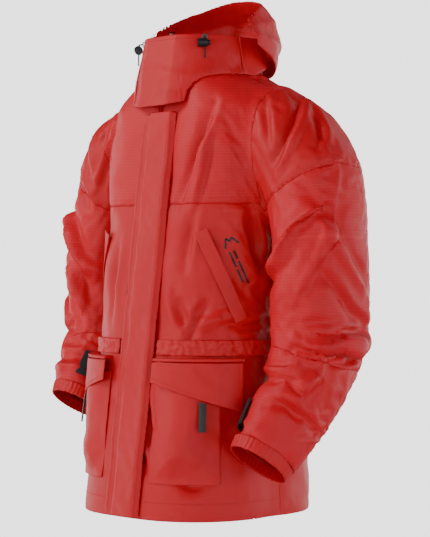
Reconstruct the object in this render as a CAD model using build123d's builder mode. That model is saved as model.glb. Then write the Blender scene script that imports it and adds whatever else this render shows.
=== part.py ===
"""Hip-length hardshell jacket with a hood, standing in the shape it takes on a wearer.

Frame: the origin is the centre of the neck opening at the height of the neck seam. +Z is up, the
front of the jacket faces -Y and the wearer's left is +X. All sizes are in millimetres.
"""

import os
from functools import cache
from math import atan, cos, degrees, radians, sin

from build123d import *

os.makedirs("parts", exist_ok=True)

# ---------------------------------------------------------------- driving dimensions
wall = 3.0  # shell laminate with its lining
fit_gap = 0.4  # clearance between pieces that move on each other
lay_gap = 0.6  # clearance under a piece that lies on the shell

neck_front = 116.0  # from the origin to the front line at the neck seam
front_slope = 0.133  # how far the front line runs forward for each mm down
hem_z = -774.0
waist_z = -480.0
armpit_z = -300.0
chest_z = -240.0
yoke_z = -150.0
shoulder_z = -60.0
front_yoke_seam = -240.0
back_yoke_seam = -200.0
centre_gap = 26.0  # between the two front edges, where the zip tape shows

hem_half_width = 178.0
waist_half_width = 175.0
armpit_half_width = 177.0
chest_half_width = 190.0
yoke_half_width = 200.0
shoulder_half_width = 188.0
neck_side_y, neck_flat, neck_fullness = -10.0, 34.0, 0.72
neck_half_width = 88.0
hem_back = 148.0
waist_back = 128.0
chest_back = 134.0
shoulder_back = 104.0
neck_back = 80.0

collar_height = 46.0
collar_top_half_width = 84.0
collar_top_back = 73.0
storm_top = 60.0
storm_foot = -76.0
storm_top_half_width = 92.0
storm_foot_half_width = 118.0
storm_top_front = -122.0
storm_foot_front = -150.0  # how far the storm collar stands in front of the origin at its foot
storm_top_back = 78.0
storm_foot_back = 95.0
storm_rest = 2.0  # clearance between the storm collar and the shoulders
guard_low = -67.0  # the chin guard's lower edge in front
guard_rise = 0.38  # how steeply that edge climbs towards the shoulder
guard_end_x = -58.0
guard_hinge_y = -25.0

cuff_band = 24.0
tab_overhang = 14.0  # how much wider a cuff tab is than the patch it grips
tab_width = 52.0
tab_length = 46.0
tab_thickness = 2.6
tab_above_cuff = 40.0
landing_thickness = 1.1

tape_thickness = 0.9
tape_depth = 1.1  # the tape's outer face below the shell's
coil_width = 3.0
coil_thickness = 2.6
coil_gap = 1.8
slider_width = 13.0
slider_length = 15.0
slider_plate = 1.4
slider_post = 1.0
slider_height = 36.0  # where the closed slider sits, above the neck seam
pull_width = 7.0
pull_length = 38.0
pull_thickness = 1.6
pull_eye = 2.4
pull_pin = 1.0
box_length = 11.0

placket_hinge_x = 46.0
placket_hinge_stand = 1.8
placket_edge_x = -38.0
placket_stand = 9.5  # inner face of the placket above the shell, over the zip
placket_thickness = 2.2
placket_top = -76.0
patch_width = 18.0
patch_length = 60.0
patch_thickness = 1.1
patch_count = 6

casing_top = -470.0
casing_bottom = -496.0
casing_thickness = 2.6
casing_tunnel = 1.6
drawcord_width = 3.0
hem_band = 30.0
hem_thickness = 2.0

pocket_angle = 36.0  # how far the hip pockets face round to the side
pocket_centre = (43.5, -58.4)  # centre of the body's round front corner
pocket_top = -526.0
pocket_bottom = -712.0
pocket_near = -80.0  # the bag's two ends, from the line through the corner's centre
pocket_far = 50.0
pocket_stand = 16.4
pocket_fabric = 2.6
pocket_back = 1.0
pocket_clear_x = 60.0  # the pocket stays outside this, clear of the open placket
header_top = -500.0
header_bottom = -506.0
flap_near = -78.0  # the flap's two ends, from the same line
flap_far = 86.0
flap_thickness = 2.4
flap_short = 34.0
flap_long = 84.0
flap_pull_at = 21.0
flap_pull_width = 12.0
flap_pull_length = 52.0
flap_pull_thickness = 2.2
flap_pull_gap = 2.8

chest_opening_top = (120.0, -145.0, -283.0)
chest_opening_foot = (165.0, -91.0, -437.0)
welt_width = 24.0
welt_thickness = 1.8
rear_pocket_width = 240.0
rear_pocket_top = -620.0
rear_pocket_bottom = -748.0
rear_pocket_stand = 5.0

hood_pivot_y = -74.0
hood_pivot_z = 66.0
hood_inner_start = 4.0  # nearest the pivot line that the hood's hollow comes
hood_front_low = 64.0  # the hood stays above this height in front of hood_front_y
hood_front_y = -18.0
hood_brim_band = 5.0  # degrees
stripe_thickness = 1.2

lock_diameter = 15.0
lock_length = 17.0
lock_bore = 9.6
lock_base = 2.5
lock_height = 43.0
lock_stand = 1.5
lock_cord_at = 12.5  # from the lock's base to its cord
plunger_diameter = 9.0
plunger_length = 12.5
plunger_proud = 4.5
plunger_travel = 3.5
spring_height = 2.5
spring_wire = 0.8
cord_diameter = 2.6
cord_play = 0.4
cord_bend = 4.0
cord_drop = 38.0
eyelet_outer = 11.0
eyelet_bore = 5.0
eyelet_height = 54.0
eyelet_thickness = 1.2

slope_angle = degrees(atan(front_slope))
slope_cos = cos(radians(slope_angle))
slope_sin = sin(radians(slope_angle))


def front_y(z):
    """Where the straight front line is at a height."""
    return -(neck_front - front_slope * z)


# The front plane: local x is the wearer's left, local y climbs the front, local z points out.
front_plane = Plane(
    origin=(0, front_y(0), 0), x_dir=(1, 0, 0), z_dir=(0, -slope_cos, slope_sin)
)


def up_front(z):
    """The front plane's local y at a height."""
    return z / slope_cos


def finish(part, label):
    """Names a finished piece and writes it."""
    part.label = label
    export_step(part, f"parts/{label}.step")


# ---------------------------------------------------------------- torso volume
# height, half width, y of the widest point, y of the back, half width of the flat back, corner fullness
torso_levels = [
    (hem_z, hem_half_width, -36, hem_back, 70, 0.74),
    (waist_z, waist_half_width, -24, waist_back, 66, 0.74),
    (armpit_z, armpit_half_width, -8, chest_back, 66, 0.77),
    (chest_z, chest_half_width, -4, chest_back, 70, 0.79),
    (yoke_z, yoke_half_width, 0, chest_back - 4, 76, 0.79),
    (shoulder_z, shoulder_half_width, 0, shoulder_back, 70, 0.78),
    (0, neck_half_width, neck_side_y, neck_back, neck_flat, neck_fullness),
]


def ring_outline(z, half_width, side_y, front, back, flats, fullness):
    """A closed section, mirrored: flat front, two arcs round the side, flat back."""
    front_flat, back_flat = flats
    front_corner = (
        front_flat + (half_width - front_flat) * fullness,
        side_y - (side_y - front) * fullness,
    )
    back_corner = (back_flat + (half_width - back_flat) * 0.74, side_y + (back - side_y) * 0.74)
    with BuildSketch(Plane.XY.offset(z)) as outline:
        with BuildLine():
            Line((0, front), (front_flat, front))
            ThreePointArc((front_flat, front), front_corner, (half_width, side_y))
            ThreePointArc((half_width, side_y), back_corner, (back_flat, back))
            Line((back_flat, back), (0, back))
            mirror(about=Plane.YZ)
        make_face()
    return outline.sketch


def torso_outline(level, inset):
    """A torso section, taken in by inset."""
    z, half_width, side_y, back_y, back_flat, fullness = level
    flats = (placket_hinge_x * (0.75 if z >= 0 else 1), back_flat)
    front = front_y(z) + inset
    return ring_outline(z, half_width - inset, side_y, front, back_y - inset, flats, fullness)


@cache
def torso_volume(inset, past=0.0):
    """The torso as a solid, taken in by inset and carried past the neck and hem."""
    levels = list(torso_levels)
    if past:
        hem, neck = levels[0], levels[-1]
        levels = [(hem_z - past, *hem[1:]), *levels, (past, *neck[1:])]
    with BuildPart() as volume:
        for level in levels:
            add(torso_outline(level, inset))
        loft(ruled=True)
    return volume.part


# ---------------------------------------------------------------- sleeve volumes
# centre, direction and radii (across the body, front to back) of each ring, with x outward
upper_rings = [
    ((118, 0, -112), (1.0, 0, -0.25), (90, 88)),
    ((200, 2, -136), (0.72, 0, -0.69), (89, 88)),
    ((245, 4, -196), (0.30, 0, -0.95), (79, 88)),
    ((259, 2, -300), (0.02, 0, -1.0), (70, 95)),
    ((261, 0, -400), (0.0, 0, -1.0), (71, 96)),
]
left_rings = [
    *upper_rings,
    ((257, -8, -490), (-0.06, -0.30, -0.95), (71, 91)),
    ((249, -66, -590), (-0.10, -0.55, -0.83), (61, 73)),
    ((237, -127, -674), (-0.12, -0.58, -0.80), (50, 58)),
]
right_rings = [
    *upper_rings,
    ((262, -12, -476), (0.0, -0.30, -0.95), (71, 88)),
    ((258, -60, -545), (0.03, -0.52, -0.85), (62, 68)),
    ((252, -98, -602), (0.04, -0.52, -0.85), (52, 56)),
]
elbow_ring = 5
armhole_outer = (330.0, -166.0)
armhole_inner = (184.0, -250.0)


def ring_plane(side, ring, shift=0.0):
    """The plane of a sleeve ring. Its local x points to the inside of the arm."""
    (x, y, z), (dx, dy, dz), _ = ring
    direction = Vector(side * dx, dy, dz).normalized()
    centre = Vector(side * x, y, z) + direction * shift
    return Plane(origin=centre, x_dir=Vector(0, 1, 0).cross(direction), z_dir=direction)


@cache
def sleeve_volume(side, grow, past=0.0):
    """A sleeve as a solid, grown all round and carried past its cuff."""
    rings = left_rings if side > 0 else right_rings
    with BuildPart() as volume:
        for ring in rings:
            with BuildSketch(ring_plane(side, ring)):
                Ellipse(ring[2][0] + grow, ring[2][1] + grow)
        loft(ruled=True)
        if past:
            with BuildSketch(ring_plane(side, rings[-1])):
                Ellipse(rings[-1][2][0] + grow, rings[-1][2][1] + grow)
            extrude(amount=past)
    return volume.part


def armhole_plane(side, shift=0.0):
    """The seam where the sleeve joins the shoulder. Its normal points down the sleeve."""
    along = Vector(armhole_outer[0] - armhole_inner[0], 0, armhole_outer[1] - armhole_inner[1])
    normal = Vector(-along.Z * -side, 0, -along.X).normalized()
    origin = Vector(side * armhole_outer[0], 0, armhole_outer[1]) + normal * shift
    return Plane(origin=origin, x_dir=(0, 1, 0), z_dir=normal)


# ---------------------------------------------------------------- torso panels
@cache
def torso_shell():
    """The hollow torso with its armholes open and the front split down the middle."""
    with BuildPart() as shell:
        add(torso_volume(0))
        add(torso_volume(wall, 40), mode=Mode.SUBTRACT)
        for side in (1, -1):
            add(sleeve_volume(side, -wall), mode=Mode.SUBTRACT)
        with Locations((0, -300, 0)):
            Box(centre_gap, 600, 3000, mode=Mode.SUBTRACT)
    return shell.part


def torso_panel(label, low, high, front, side=0):
    """The part of the torso shell between two heights, in front of or behind the side seam."""
    reach = 400
    width = reach if side else 2 * reach
    with BuildPart() as panel:
        with Locations((side * reach / 2, -reach / 2 if front else reach / 2, (low + high) / 2)):
            Box(width, reach, high - low)
        add(torso_shell(), mode=Mode.INTERSECT)
    finish(panel.part, label)


for side, name in ((1, "left"), (-1, "right")):
    torso_panel(f"front_panel_{name}", hem_z - 1, front_yoke_seam, True, side)
    torso_panel(f"front_yoke_{name}", front_yoke_seam, 1, True, side)
torso_panel("back_panel", hem_z - 1, back_yoke_seam, False)
torso_panel("back_yoke", back_yoke_seam, 1, False)


# ---------------------------------------------------------------- sleeves
@cache
def sleeve_shell(side):
    """The hollow sleeve with its shoulder, outside the torso."""
    with BuildPart() as shell:
        add(sleeve_volume(side, 0))
        add(sleeve_volume(side, -wall, 20), mode=Mode.SUBTRACT)
        add(torso_volume(0), mode=Mode.SUBTRACT)
    return shell.part


def sleeve_piece(side, label, upper=None, lower=None):
    """The part of a sleeve between two planes whose normals point down the sleeve."""
    with BuildPart() as piece:
        add(sleeve_shell(side))
        if upper:
            split(bisect_by=upper, keep=Keep.TOP)
        if lower:
            split(bisect_by=lower, keep=Keep.BOTTOM)
        largest = piece.part.solids().sort_by(SortBy.VOLUME)[-1]
    finish(Part(largest.wrapped), label)


def wrist_plane(side, rings):
    """Across the wrist, above the cuff. Its local x points to the inner front of the arm."""
    across = ring_plane(side, rings[-1], -tab_above_cuff)
    inner_front = across.x_dir * side - across.y_dir
    return Plane(origin=across.origin, x_dir=inner_front, z_dir=across.z_dir)


def wrist_patch(side, rings, label, thickness, lift, width):
    """A patch that lies round the inner front of the wrist."""
    with BuildPart(wrist_plane(side, rings)) as window:
        with Locations((80, 0, -tab_length / 2)):
            Box(100, width, tab_length)
    with BuildPart() as patch:
        add(sleeve_volume(side, lift + thickness))
        add(sleeve_volume(side, lift), mode=Mode.SUBTRACT)
        add(window.part, mode=Mode.INTERSECT)
    finish(patch.part, label)


def sleeve_set(side, name, rings):
    cuff_plane = ring_plane(side, rings[-1], -cuff_band)
    elbow = ring_plane(side, rings[elbow_ring])
    sleeve_piece(side, f"shoulder_cap_{name}", None, armhole_plane(side))
    sleeve_piece(side, f"upper_sleeve_{name}", armhole_plane(side, fit_gap), elbow)
    sleeve_piece(
        side, f"forearm_{name}", ring_plane(side, rings[elbow_ring], fit_gap), cuff_plane
    )
    sleeve_piece(side, f"cuff_{name}", cuff_plane, None)
    landing_width = tab_width - tab_overhang
    wrist_patch(side, rings, f"cuff_landing_{name}", landing_thickness, 0, landing_width)
    tab_lift = landing_thickness + fit_gap
    wrist_patch(side, rings, f"cuff_tab_{name}", tab_thickness, tab_lift, tab_width)


for side, name, rings in ((1, "left", left_rings), (-1, "right", right_rings)):
    sleeve_set(side, name, rings)


# ---------------------------------------------------------------- pieces that lie on the torso
def mirrored(part):
    return mirror(part, about=Plane.YZ)


def finish_pair(part, name):
    """Writes a left piece and its mirror image."""
    finish(part, f"{name}_left")
    finish(mirrored(part), f"{name}_right")


def skin(window, inner, outer):
    """A layer between two distances above the shell, where the window lets it be."""
    with BuildPart() as layer:
        add(torso_volume(-outer))
        add(torso_volume(-inner), mode=Mode.SUBTRACT)
        add(window, mode=Mode.INTERSECT)
    return layer.part


def slab(low, high, across=1000.0, y=0.0, depth=1000.0):
    """A window between two heights."""
    with BuildPart() as window:
        with Locations((0, y, (low + high) / 2)):
            Box(across, depth, high - low)
    return window.part


def open_front(window, reach_left, reach_right):
    """A window with a clear space behind the placket."""
    with BuildPart() as opened:
        add(window)
        with Locations(((reach_left + reach_right) / 2, -300, (hem_z / 2))):
            Box(reach_left - reach_right, 400, -2 * hem_z, mode=Mode.SUBTRACT)
    return opened.part


casing_middle = (casing_top + casing_bottom) / 2
casing_window = open_front(
    slab(casing_bottom, casing_top), placket_hinge_x + 5, placket_edge_x - 5
)
with BuildPart() as waist_casing:
    add(skin(casing_window, 0, casing_thickness))
    tunnel = slab(casing_middle - drawcord_width, casing_middle + drawcord_width)
    add(skin(tunnel, 0, casing_tunnel), mode=Mode.SUBTRACT)
finish(waist_casing.part, "waist_casing")

cord_window = slab(casing_middle - drawcord_width / 2, casing_middle + drawcord_width / 2)
cord_window = open_front(cord_window, placket_hinge_x + 8, placket_edge_x - 8)
finish(skin(cord_window, 0.2, casing_tunnel - 0.2), "waist_drawcord")

hem_window = open_front(slab(hem_z - 1, hem_z + hem_band), centre_gap / 2, -centre_gap / 2)
finish(skin(hem_window, -wall - hem_thickness, -wall), "hem_facing")

rear_window = slab(rear_pocket_bottom, rear_pocket_top, rear_pocket_width, 200, 300)
finish(skin(rear_window, 0, rear_pocket_stand), "rear_pocket")


# ---------------------------------------------------------------- chest pockets
opening_top = Vector(*chest_opening_top)
opening_foot = Vector(*chest_opening_foot)
opening_run = (opening_foot - opening_top).normalized()
outward = Vector(0.75, -0.66, 0)
outward = (outward - opening_run * outward.dot(opening_run)).normalized()
welt_plane = Plane(origin=(opening_top + opening_foot) / 2, x_dir=opening_run, z_dir=outward)
with BuildPart(welt_plane) as welt_window:
    Box((opening_foot - opening_top).length, welt_width, 120)
finish_pair(skin(welt_window.part, 0, welt_thickness), "chest_welt")


# ---------------------------------------------------------------- hip pockets
turn = radians(pocket_angle)
pocket_plane = Plane(
    origin=(*pocket_centre, 0), x_dir=(cos(turn), sin(turn), 0), z_dir=(sin(turn), -cos(turn), 0)
)


def clear_of_placket(window, margin=0.0):
    """A window with the room that the open placket takes cut away."""
    with BuildPart() as cleared:
        add(window)
        with Locations((pocket_clear_x + margin - 500, 0, 0)):
            Box(1000, 1000, 2000, mode=Mode.SUBTRACT)
    return cleared.part


def pocket_window(near, far, low, high, margin=0.0):
    """A window in the pocket's plane, reaching out from the centre of the round corner."""
    with BuildPart(pocket_plane) as window:
        with Locations(((near + far) / 2, (low + high) / 2, 125)):
            Box(far - near, high - low, 250)
    return clear_of_placket(window.part, margin)


flap_lift = pocket_stand + lay_gap
flap_top = header_bottom - lay_gap

with BuildPart() as pocket_bag:
    add(skin(pocket_window(pocket_near, pocket_far, pocket_bottom, pocket_top), 0, pocket_stand))
    hollow = pocket_window(
        pocket_near + pocket_fabric,
        pocket_far - pocket_fabric,
        pocket_bottom + pocket_fabric,
        0,
        pocket_fabric,
    )
    add(skin(hollow, pocket_back, pocket_stand - pocket_fabric), mode=Mode.SUBTRACT)
finish_pair(pocket_bag.part, "pocket_bag")

header_window = pocket_window(flap_near, flap_far, header_bottom, header_top)
finish_pair(skin(header_window, 0, flap_lift + flap_thickness), "pocket_header")


def flap_edge(across):
    """The height of the flap's lower edge at a distance across it."""
    share = (across - flap_near) / (flap_far - flap_near)
    return flap_top - flap_short - (flap_long - flap_short) * share


with BuildPart() as flap_window:
    with BuildSketch(pocket_plane):
        with BuildLine():
            Polyline(
                (flap_near, flap_top),
                (flap_far, flap_top),
                (flap_far, flap_edge(flap_far)),
                (flap_near, flap_edge(flap_near)),
                close=True,
            )
        make_face()
    extrude(amount=250)
flap_cut = clear_of_placket(flap_window.part)
finish_pair(skin(flap_cut, flap_lift, flap_lift + flap_thickness), "pocket_flap")

corner_radius = -front_y(flap_edge(flap_pull_at)) + pocket_centre[1]
pull_hinge = pocket_plane.from_local_coords(
    Vector(
        flap_pull_at,
        flap_edge(flap_pull_at),
        corner_radius + flap_lift + flap_thickness / 2,
    )
)
pull_plane = Plane(
    origin=pull_hinge,
    x_dir=pocket_plane.x_dir,
    z_dir=pocket_plane.z_dir * slope_cos + Vector(0, 0, slope_sin),
)
half_pull = flap_pull_width / 2
with BuildPart() as flap_pull:
    with BuildSketch(pull_plane.offset(-flap_pull_thickness / 2)):
        with BuildLine():
            Polyline(
                (-half_pull, flap_edge(flap_pull_at - half_pull) - flap_edge(flap_pull_at) - flap_pull_gap),
                (half_pull, flap_edge(flap_pull_at + half_pull) - flap_edge(flap_pull_at) - flap_pull_gap),
                (half_pull, -flap_pull_length),
                (-half_pull, -flap_pull_length),
                close=True,
            )
        make_face()
    extrude(amount=flap_pull_thickness)
finish_pair(flap_pull.part, "flap_pull")


# ---------------------------------------------------------------- collar and storm collar
def collar_volume(inset, past=0.0):
    """The stand collar as a solid, taken in by inset."""
    with BuildPart() as volume:
        add(torso_outline((-past, *torso_levels[-1][1:]), inset))
        top = (collar_height + past, collar_top_half_width, neck_side_y, collar_top_back, neck_flat, neck_fullness)
        add(torso_outline(top, inset))
        loft(ruled=True)
    return volume.part


with BuildPart() as stand_collar:
    add(collar_volume(0))
    add(collar_volume(wall, 1), mode=Mode.SUBTRACT)
    with Locations((0, -150, 0)):
        Box(centre_gap, 200, 200, mode=Mode.SUBTRACT)
finish(stand_collar.part, "stand_collar")


@cache
def storm_volume(inset, past=0.0):
    """The storm collar as a solid funnel, taken in by inset."""
    foot = (storm_foot_half_width, storm_foot_front, storm_foot_back)
    top = (storm_top_half_width, storm_top_front, storm_top_back)
    with BuildPart() as volume:
        for z, (half_width, front, back) in ((storm_foot - past, foot), (storm_top + past, top)):
            ends = (front + inset, back - inset)
            add(ring_outline(z, half_width - inset, neck_side_y, *ends, (neck_flat, neck_flat), neck_fullness))
        loft(ruled=True)
    return volume.part


@cache
def storm_shell():
    """The whole storm collar, above its slanting lower edge and clear of the shoulders."""
    edge = Plane(
        origin=(0, storm_foot_front, guard_low), x_dir=(1, 0, 0), z_dir=(0, -guard_rise, 1)
    )
    with BuildPart() as shell:
        add(storm_volume(0))
        add(storm_volume(wall, 1), mode=Mode.SUBTRACT)
        add(torso_volume(-storm_rest), mode=Mode.SUBTRACT)
        split(bisect_by=edge, keep=Keep.TOP)
    return shell.part


guard_width = 300.0
guard_reach = (guard_end_x + guard_width / 2, guard_hinge_y - guard_width / 2, 0)
with BuildPart() as chin_guard:
    add(storm_shell())
    with Locations(guard_reach):
        Box(guard_width, guard_width, guard_width, mode=Mode.INTERSECT)
finish(chin_guard.part, "chin_guard")

with BuildPart() as storm_collar:
    add(storm_shell())
    with Locations(guard_reach):
        opened = guard_width + 2 * fit_gap
        Box(opened, opened, opened, mode=Mode.SUBTRACT)
finish(storm_collar.part, "storm_collar")

loop_width, loop_height, loop_thickness = 60.0, 8.0, 1.6
loop_y = 70.2
with BuildPart() as hanger_loop:
    with Locations((0, loop_y, -8)):
        Box(loop_width, loop_thickness, loop_height)
    with Locations(*[(x, loop_y + 12, -8) for x in (-loop_width / 2 + 2, loop_width / 2 - 2)]):
        Box(4, 24, loop_height)
    add(torso_volume(wall), mode=Mode.INTERSECT)
finish(hanger_loop.part, "hanger_loop")


# ---------------------------------------------------------------- hood
# degrees above level, half width and reach of the hood's sections through the pivot line
hood_sections = [(-24, 120, 190), (-5, 122, 196), (12, 112, 190), (27, 96, 172)]
hood_ends = (hood_sections[0][0], hood_sections[-1][0])


def hood_plane(angle):
    """A plane through the pivot line. Its local y runs back from the line."""
    tilt = radians(angle)
    return Plane(
        origin=(0, hood_pivot_y, hood_pivot_z), x_dir=(1, 0, 0), z_dir=(0, -sin(tilt), cos(tilt))
    )


def hood_volume(inset, start, past=0.0):
    """The hood as a solid fan, taken in by inset."""
    with BuildPart() as volume:
        for angle, half_width, reach in hood_sections:
            extra = past if angle > 0 else -past
            side, back = half_width - inset, reach - inset
            with BuildSketch(hood_plane(angle + (extra if angle in hood_ends else 0))):
                with BuildLine():
                    Line((0, start), (side, start))
                    ThreePointArc((side, start), (side * 0.8, back * 0.8), (0, back))
                    mirror(about=Plane.YZ)
                make_face()
        loft(ruled=True)
    return volume.part


def hood_layer(inner, outer, low=None, high=None):
    """A layer of the hood between two insets and two angles."""
    with BuildPart() as layer:
        add(hood_volume(outer, 2 * hood_inner_start))
        add(hood_volume(inner, hood_inner_start, 1), mode=Mode.SUBTRACT)
        with Locations((0, hood_front_y - 100, hood_front_low - 100)):
            Box(400, 200, 200, mode=Mode.SUBTRACT)
        add(torso_volume(-storm_rest), mode=Mode.SUBTRACT)
        if low is not None:
            split(bisect_by=hood_plane(low), keep=Keep.TOP)
        if high is not None:
            split(bisect_by=hood_plane(high), keep=Keep.BOTTOM)
    return layer.part


brim_from = hood_sections[-1][0] - hood_brim_band
finish(hood_layer(wall, 0, None, brim_from), "hood_shell")
finish(hood_layer(wall, 0, brim_from), "hood_brim")
with BuildPart() as hood_stripe:
    add(hood_layer(wall + stripe_thickness, wall, 8, brim_from))
    with Locations((-120, -20, 100)):
        Box(100, 80, 200, mode=Mode.INTERSECT)
finish(hood_stripe.part, "hood_stripe")


# ---------------------------------------------------------------- front zip
zip_foot = up_front(hem_z)
zip_head = up_front(collar_height)
zip_length = zip_head - zip_foot
zip_middle = (zip_head + zip_foot) / 2
coil_inner = coil_gap / 2
coil_outer = coil_inner + coil_width
tape_face = -tape_depth
coil_face = tape_face + coil_thickness

with BuildPart(front_plane) as zip_tape:
    with Locations(((coil_inner + centre_gap / 2) / 2, zip_middle, tape_face - tape_thickness / 2)):
        Box(centre_gap / 2 - coil_inner, zip_length, tape_thickness)
finish_pair(zip_tape.part, "zip_tape")

coil_foot = zip_foot + box_length
with BuildPart(front_plane) as zip_coil:
    with Locations((coil_inner + coil_width / 2, (coil_foot + zip_head) / 2, 0)):
        with Locations((0, 0, tape_face + coil_thickness / 2)):
            Box(coil_width, zip_head - coil_foot, coil_thickness)
finish_pair(zip_coil.part, "zip_coil")

with BuildPart(front_plane) as zip_box:
    with Locations((0, zip_foot + box_length / 2, tape_face + coil_thickness / 2)):
        Box(2 * coil_outer, box_length, coil_thickness)
finish(zip_box.part, "zip_box")

slider_middle = up_front(slider_height)
plate_low = tape_face - tape_thickness - fit_gap - slider_plate
plate_high = coil_face + fit_gap
flange = slider_width / 2 - coil_outer - fit_gap
pin_stand = plate_high + slider_plate + pull_eye + fit_gap
pin_radius = pull_pin
eye_bore = pull_pin + 0.25
ear = 1.2
with BuildPart(front_plane) as zip_slider:
    with Locations(
        (0, slider_middle, plate_low + slider_plate / 2),
        (0, slider_middle, plate_high + slider_plate / 2),
    ):
        Box(slider_width, slider_length, slider_plate)
    with Locations((0, slider_middle, (plate_low + plate_high + slider_plate) / 2)):
        Box(slider_post, slider_length, plate_high + slider_plate - plate_low)
    flange_low = tape_face + fit_gap
    for across in (-1, 1):
        flange_x = across * (slider_width - flange) / 2
        with Locations((flange_x, slider_middle, (flange_low + plate_high) / 2)):
            Box(flange, slider_length, plate_high - flange_low)
        ear_x = across * (pull_width / 2 + fit_gap + ear / 2)
        ear_low = plate_high + slider_plate / 2
        with Locations((ear_x, slider_middle, (ear_low + pin_stand + pin_radius) / 2)):
            Box(ear, 2 * pull_eye, pin_stand + pin_radius - ear_low)
    with Locations((0, slider_middle, pin_stand)):
        Cylinder(pin_radius, pull_width + 2 * fit_gap + ear, rotation=(0, 90, 0))
finish(zip_slider.part, "zip_slider")

with BuildPart(front_plane) as zip_pull:
    with Locations((0, slider_middle, pin_stand)):
        Cylinder(pull_eye, pull_width, rotation=(0, 90, 0))
    with Locations((0, slider_middle - pull_length / 2, pin_stand)):
        Box(pull_width, pull_length, pull_thickness)
    with Locations((0, slider_middle, pin_stand)):
        Cylinder(eye_bore, pull_width + 1, rotation=(0, 90, 0), mode=Mode.SUBTRACT)
finish(zip_pull.part, "zip_pull")


# ---------------------------------------------------------------- placket over the zip
placket_head = up_front(placket_top)
placket_foot = up_front(hem_z) + 1
edge_stand = 2 * patch_thickness + fit_gap
edge_flat = placket_edge_x + patch_width + 1
with BuildPart() as placket:
    with BuildSketch(Plane(front_plane.from_local_coords((0, placket_foot, 0)),
                           x_dir=(1, 0, 0), z_dir=front_plane.y_dir)):
        with BuildLine() as trace_line:
            Polyline(
                (placket_hinge_x, -placket_hinge_stand),
                (placket_hinge_x - 9, -placket_stand - placket_thickness / 2),
                (edge_flat + 7, -placket_stand - placket_thickness / 2),
                (edge_flat, -edge_stand - placket_thickness / 2),
                (placket_edge_x, -edge_stand - placket_thickness / 2),
            )
        trace(line_width=placket_thickness)
    extrude(amount=placket_head - placket_foot)
finish(placket.part, "placket")

patch_middle = placket_edge_x + patch_width / 2
patch_pitch = (placket_head - placket_foot) / patch_count
patch_places = [
    (patch_middle, placket_foot + patch_pitch * (i + 0.5), 0) for i in range(patch_count)
]
for label, stand in (
    ("placket_loops", patch_thickness / 2),
    ("placket_hooks", edge_stand - patch_thickness / 2),
):
    with BuildPart(front_plane) as patches:
        with Locations(*[(x, y, stand) for x, y, _ in patch_places]):
            Box(patch_width, patch_length, patch_thickness)
    finish(patches.part, label)


# ---------------------------------------------------------------- cord locks
# The lock lies on the storm collar's round front corner. Its local x runs back along the collar,
# local y runs up and local z points out.
corner_share = (lock_height - storm_foot) / (storm_top - storm_foot)
corner_half_width = storm_foot_half_width + (
    storm_top_half_width - storm_foot_half_width
) * corner_share
corner_front = storm_foot_front + (storm_top_front - storm_foot_front) * corner_share
corner_point = (
    neck_flat + (corner_half_width - neck_flat) * neck_fullness,
    neck_side_y + (corner_front - neck_side_y) * neck_fullness,
    lock_height,
)
lock_turn = radians(46)
lock_plane = Plane(
    origin=corner_point,
    x_dir=(cos(lock_turn), sin(lock_turn), 0),
    z_dir=(sin(lock_turn), -cos(lock_turn), 0),
)
lock_axis = lock_stand + lock_diameter / 2


def along(start, end):
    """The middle and length of a stretch measured from the lock's base along its axis."""
    return (start + end) / 2 - lock_cord_at, end - start


def barrel(radius, start, end, mode=Mode.ADD):
    middle, length = along(start, end)
    with Locations((middle, 0, lock_axis)):
        Cylinder(radius, length, rotation=(0, 90, 0), mode=mode)


cord_hole = cord_diameter / 2 + cord_play
with BuildPart(lock_plane) as cord_lock:
    barrel(lock_diameter / 2, 0, lock_length)
    barrel(lock_bore / 2, lock_base, lock_length, Mode.SUBTRACT)
    with Locations((0, 0, lock_axis)):
        Cylinder(cord_hole, lock_diameter + 2, rotation=(90, 0, 0), mode=Mode.SUBTRACT)
finish_pair(cord_lock.part, "cord_lock")

plunger_end = lock_length + plunger_proud
with BuildPart(lock_plane) as plunger:
    barrel(plunger_diameter / 2, plunger_end - plunger_length, plunger_end)
    slot_middle, slot_length = along(
        lock_cord_at - cord_hole, lock_cord_at + cord_hole + plunger_travel
    )
    with Locations((slot_middle, 0, lock_axis)):
        Box(slot_length, plunger_diameter + 2, 2 * cord_hole, mode=Mode.SUBTRACT)
finish_pair(plunger.part, "lock_plunger")

with BuildPart(lock_plane) as lock_spring:
    barrel(plunger_diameter / 2 - 0.5, lock_base, lock_base + spring_height)
    barrel(plunger_diameter / 2 - 0.5 - spring_wire, 0, lock_length, Mode.SUBTRACT)
finish_pair(lock_spring.part, "lock_spring")

rise = eyelet_height - lock_height
with BuildPart(lock_plane) as eyelet:
    with Locations((0, rise, eyelet_thickness / 2 + 0.4)):
        Cylinder(eyelet_outer / 2, eyelet_thickness)
        Cylinder(eyelet_bore / 2, 3 * eyelet_thickness, mode=Mode.SUBTRACT)
finish_pair(eyelet.part, "eyelet")

with BuildPart() as lock_cord:
    with BuildLine(lock_plane) as cord_route:
        FilletPolyline(
            (0, rise, 0.4), (0, rise, lock_axis), (0, rise - cord_drop, lock_axis), radius=cord_bend
        )
    with BuildSketch(lock_plane.offset(0.4)):
        with Locations((0, rise)):
            Circle(cord_diameter / 2)
    sweep(path=cord_route.line)
finish_pair(lock_cord.part, "lock_cord")
cord_length = sum(edge.length for edge in cord_route.edges())
print(f"lock cord {cord_length:.1f} mm long, bend radius {cord_bend} mm")
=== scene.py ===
import math

import bmesh
import bpy
import numpy as np
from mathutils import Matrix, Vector, noise
from mathutils.bvhtree import BVHTree
from mathutils.kdtree import KDTree


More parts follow.
